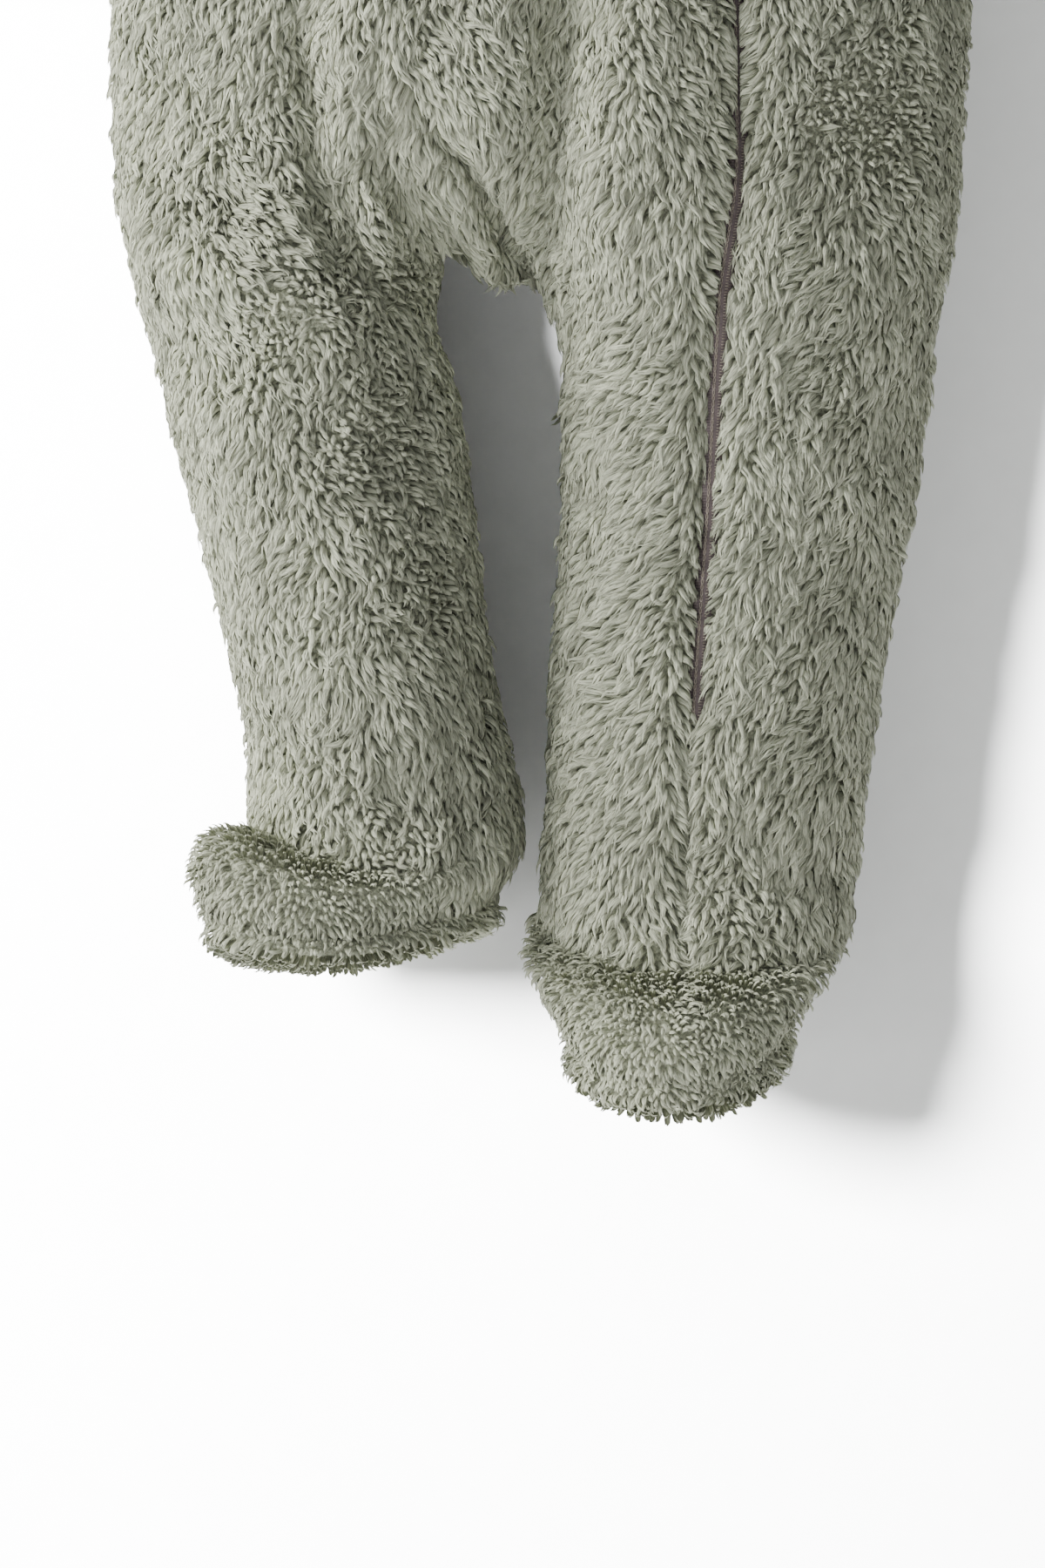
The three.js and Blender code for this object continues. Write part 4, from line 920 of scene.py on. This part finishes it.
def zip_path():
    """The zip's middle line on its solid: the way along it, its points, and its directions across and out."""
    mesh = bmesh.new()
    mesh.from_mesh(frame["nodes"]["zip_chain"].data)
    bmesh.ops.remove_doubles(mesh, verts=mesh.verts, dist=WELD)
    corners = sorted((v.co.copy() for v in mesh.verts), key=lambda co: -co.z)
    mesh.free()
    rows = []
    for i in range(0, len(corners), 4):
        four = sorted(corners[i:i + 4], key=lambda co: co.y)
        top = sorted(four[:2], key=lambda co: co.x)
        foot = (four[2] + four[3]) / 2
        middle = (top[0] + top[1]) / 2
        rows.append((middle, (top[1] - top[0]).normalized(), (middle - foot).normalized()))
    middle, across, out = (np.array([list(row[k]) for row in rows]) for k in range(3))
    run = np.concatenate([[0], np.cumsum(np.linalg.norm(np.diff(middle, axis=0), axis=1))])
    pitch = settings("zip").pitch / 2
    fine = np.arange(0, run[-1], pitch)
    kernel = np.ones(SMOOTHED_OVER) / SMOOTHED_OVER

    def smoothed(values):
        columns = (np.interp(fine, run, values[:, k]) for k in range(3))
        return np.stack([np.convolve(np.pad(column, SMOOTHED_OVER // 2, mode="edge"), kernel, "valid")
                         for column in columns], 1)

    middle, across, out = smoothed(middle), unit(smoothed(across)), unit(smoothed(out))
    beyond = np.arange(1, STEPS_BEYOND + 1)[:, None]
    middle = np.concatenate([middle, middle[-1] + beyond * (middle[-1] - middle[-2])])
    across, out = (np.concatenate([rows, np.repeat(rows[-1:], STEPS_BEYOND, 0)]) for rows in (across, out))
    return np.arange(len(middle)) * pitch, middle, across, out


def band(middle, across, out, offset, height):
    """Points and faces of a strip along a line, with a row of sideways offsets and heights at each point."""
    line = middle[:, None] + across[:, None] * offset[None, :, None] + out[:, None] * height[:, :, None]
    rows, columns = height.shape
    faces = [(r * columns + c, r * columns + c + 1, (r + 1) * columns + c + 1, (r + 1) * columns + c)
             for r in range(rows - 1) for c in range(columns - 1)]
    return line.reshape(-1, 3).tolist(), faces


def tube(points, faces, path, up, radius):
    """Adds a thin closed four-sided thread along a path to lists of points and faces."""
    path = np.array(path)
    first = len(points)
    last = first + 4 * (len(path) - 1)
    for centre, beside in zip(path, np.cross(unit(np.gradient(path, axis=0)), up)):
        points += [(centre + beside * across * radius + up * rise * radius).tolist()
                   for across, rise in ((1, 0), (0, 1), (-1, 0), (0, -1))]
    for a in range(first, last, 4):
        faces += [(a + k, a + (k + 1) % 4, a + 4 + (k + 1) % 4, a + 4 + k) for k in range(4)]
    faces += [(first + 3, first + 2, first + 1, first), (last, last + 1, last + 2, last + 3)]


class ONESIE_OT_zip(bpy.types.Operator):
    """Makes the zip: two woven tapes over a fine coil, and the stitches that hold the coil to them"""

    bl_idname = "onesie.zip"
    bl_label = "Zip"

    def execute(self, context):
        sizes = settings("zip")
        run, middle, across, out = zip_path()
        hidden = ramp(middle[:, 2], ZIP_SHOWS_BELOW, ZIP_SHOWS_BELOW + 0.02)
        depth = (sizes.depth + HIDDEN_DEPTH * hidden) * ramp(-middle[:, 2], *COLLAR)
        middle = middle - out * depth[:, None]
        offset, drop = np.concatenate([TAPE_HALF[::-1] * (-1, 1), TAPE_HALF]).T
        coarse = slice(None, None, TAPE_EVERY)
        rows = middle[coarse], across[coarse], out[coarse]
        tape = smooth_object("zip_tape", *band(*rows, offset, np.tile(drop, (len(rows[0]), 1))))
        tape.data.materials.append(woven_material("zip tape", list(sizes.tape), 300))
        edit(tape, bpy.ops.mesh.normals_make_consistent, inside=False)
        if tape.data.polygons[0].normal.y > 0:
            tape.data.flip_normals()
        finish_with(tape, "SOLIDIFY", thickness=TAPE_THICKNESS, offset=-1)
        turn = np.linspace(0, 2 * np.pi, 7)
        swell = 1 + COIL_SWELL * np.where(np.arange(len(run)) % 2, 1, -1)
        high = COIL_HIGH * np.sin(turn)[None] * swell[:, None]
        coil = smooth_object("zip_coil", *band(middle, across, out, COIL_WIDE * np.cos(turn), high))
        coil.data.materials.append(woven_material("zip coil", [c * 1.15 for c in sizes.tape], 700))

        points, faces = [], []
        for start in np.arange(2 * MM, run[-1] - 2 * MM, sizes.stitch):
            i = int(np.searchsorted(run, start))
            forward = unit((middle[i] - middle[i - 1])[None])[0] * sizes.stitch
            sideways, up = across[i] * MM, out[i] * MM
            here = middle[i] + out[i] * COIL_HIGH
            for bow in (-1, 1):
                path = [here + sideways * (LINK_ASIDE + bow * sway) + forward * step + up * rise
                        for step, sway, rise in LINK]
                tube(points, faces, path, out[i], LINK_RADIUS)
            for half in (0.0, 0.5):
                path = [here + sideways * side + forward * half + up * rise for side, rise in CROSSING]
                tube(points, faces, path, out[i], CROSSING_RADIUS)
        stitches = smooth_object("zip_stitches", points, faces)
        stitches.data.materials.append(woven_material("zip thread", list(sizes.thread), 900))
        edit(stitches, bpy.ops.mesh.normals_make_consistent, inside=False)
        for piece in (coil, tape, stitches):
            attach(piece, "garment")
        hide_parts("zip_chain")

        metal = metal_material()
        for name in ("zip_slider", "zip_pull"):
            slots = frame["nodes"][name].data.materials
            slots.clear()
            slots.append(metal)
        return {"FINISHED"}


def plaster_material():
    """A smooth painted wall, white to the camera, dull to the garment, and clear from behind."""
    made, tree, shader = material("plaster")
    grain = texture(tree, "TexNoise", Scale=90.0, Detail=4.0)
    colour = colour_ramp(tree, grain, [(0.0, (0.84, 0.85, 0.845)), (1.0, (0.90, 0.91, 0.905))])
    surface(tree, shader, colour, 0.9, grain, 0.16, 1.0 * MM)
    dull = node(tree, "BsdfDiffuse")
    dull.inputs["Color"].default_value = (0.16, 0.16, 0.16, 1)
    path = node(tree, "LightPath")
    side = node(tree, "NewGeometry")
    clear = node(tree, "BsdfTransparent")
    seen_by, mixed = (node(tree, "MixShader") for _ in range(2))
    choices = ((seen_by, path.outputs["Is Camera Ray"], dull, shader),
               (mixed, side.outputs["Backfacing"], seen_by, clear))
    for choice, when, otherwise, then in choices:
        tree.links.new(when, choice.inputs["Fac"])
        tree.links.new(otherwise.outputs[0], choice.inputs[1])
        tree.links.new(then.outputs[0], choice.inputs[2])
    tree.links.new(mixed.outputs["Shader"], tree.nodes["Material Output"].inputs["Surface"])
    return made


def area_light(name, at, look, size, power, colour, lit):
    """A round soft light; with a collection named, it lights only that."""
    bpy.ops.object.light_add(type="AREA", location=at)
    light = bpy.context.object
    light.name = name
    light.data.shape = "DISK"
    light.data.size, light.data.energy, light.data.color = size, power, colour
    light.rotation_euler = (Vector(look) - Vector(at)).to_track_quat("-Z", "Y").to_euler()
    light.light_linking.receiver_collection = lit


BACKDROP_SIZE = 8  # metres, of the wall and the floor
AIR_COLOUR = (0.93, 0.96, 1, 1)
AIR_STRENGTH = 0.12


class ONESIE_OT_stage(bpy.types.Operator):
    """Makes the pale wall and floor, the soft lights and the camera"""

    bl_idname = "onesie.stage"
    bl_label = "Stage"

    def execute(self, context):
        stage = settings("stage")
        plaster = plaster_material()
        backdrop = bpy.data.collections.new("backdrop")
        upright = math.radians(90)
        for name, at, turn in (("wall", (0, stage.wall, 0), upright), ("floor", (0, 0, -stage.floor), 0.0)):
            bpy.ops.mesh.primitive_plane_add(size=BACKDROP_SIZE, location=at, rotation=(turn, 0, 0))
            plane = bpy.context.object
            plane.name = name
            bpy.ops.object.transform_apply(location=True, rotation=True, scale=True)
            plane.data.materials.append(plaster)
            backdrop.objects.link(plane)
        look = (stage.look_x, 0, stage.look_z)
        garment = bpy.data.collections.new("garment")
        for obj in context.scene.objects:
            if obj.type == "MESH" and obj.name not in backdrop.objects:
                garment.objects.link(obj)
        for light in (
            ("key", (-1.3, -0.62, 0.25), (-0.02, 0, -0.6), 0.7, 42, (1, 0.995, 0.97), None),
            ("fill", (0.1, -2.3, -0.3), look, 2.0, 9, (0.98, 0.99, 1), garment),
            ("wall washer", (-1.5, -1.9, -0.3), (-0.2, stage.wall, -0.66), 0.8, 1120, (1, 1, 1), backdrop),
            ("wall glow", (1.9, -0.8, -0.5), (0.12, stage.wall, -0.65), 1.0, 29, (0.99, 1, 0.98), backdrop),
        ):
            area_light(*light)
        world = context.scene.world or bpy.data.worlds.new("air")
        context.scene.world = world
        world.use_nodes = True
        air = world.node_tree.nodes["Background"]
        air.inputs["Color"].default_value = AIR_COLOUR
        air.inputs["Strength"].default_value = AIR_STRENGTH
        bpy.ops.object.camera_add(location=(look[0], -stage.distance, look[2]), rotation=(upright, 0, 0))
        camera = context.object
        camera.data.lens = stage.lens
        camera.data.sensor_fit = "AUTO"
        camera.data.clip_start = 0.05
        context.scene.camera = camera
        return {"FINISHED"}


class ONESIE_PT_panel(bpy.types.Panel):
    """The operators and sizes of the onesie"""

    bl_idname = "ONESIE_PT_panel"
    bl_label = "Onesie"
    bl_space_type = "VIEW_3D"
    bl_region_type = "UI"
    bl_category = "Onesie"

    def draw(self, context):
        for operator in OPERATORS:
            self.layout.operator(operator.bl_idname)
        for name, group in GROUPS.items():
            box = self.layout.box()
            box.label(text=name.capitalize())
            for field in group.__annotations__:
                box.prop(settings(name), field)


GROUPS = {"pile": OnesiePile, "zip": OnesieZip, "stage": OnesieStage}
OPERATORS = (ONESIE_OT_cloth, ONESIE_OT_zip, ONESIE_OT_stage)


def register():
    for made in (*GROUPS.values(), *OPERATORS, ONESIE_PT_panel):
        bpy.utils.register_class(made)
    for name, group in GROUPS.items():
        setattr(bpy.types.Scene, "onesie_" + name, PointerProperty(type=group))


def unregister():
    for name in GROUPS:
        delattr(bpy.types.Scene, "onesie_" + name)
    for made in (ONESIE_PT_panel, *reversed(OPERATORS), *reversed(GROUPS.values())):
        bpy.utils.unregister_class(made)


def main():
    register()
    bpy.ops.onesie.cloth()
    bpy.ops.onesie.zip()
    bpy.ops.onesie.stage()


if __name__ == "__main__":
    main()
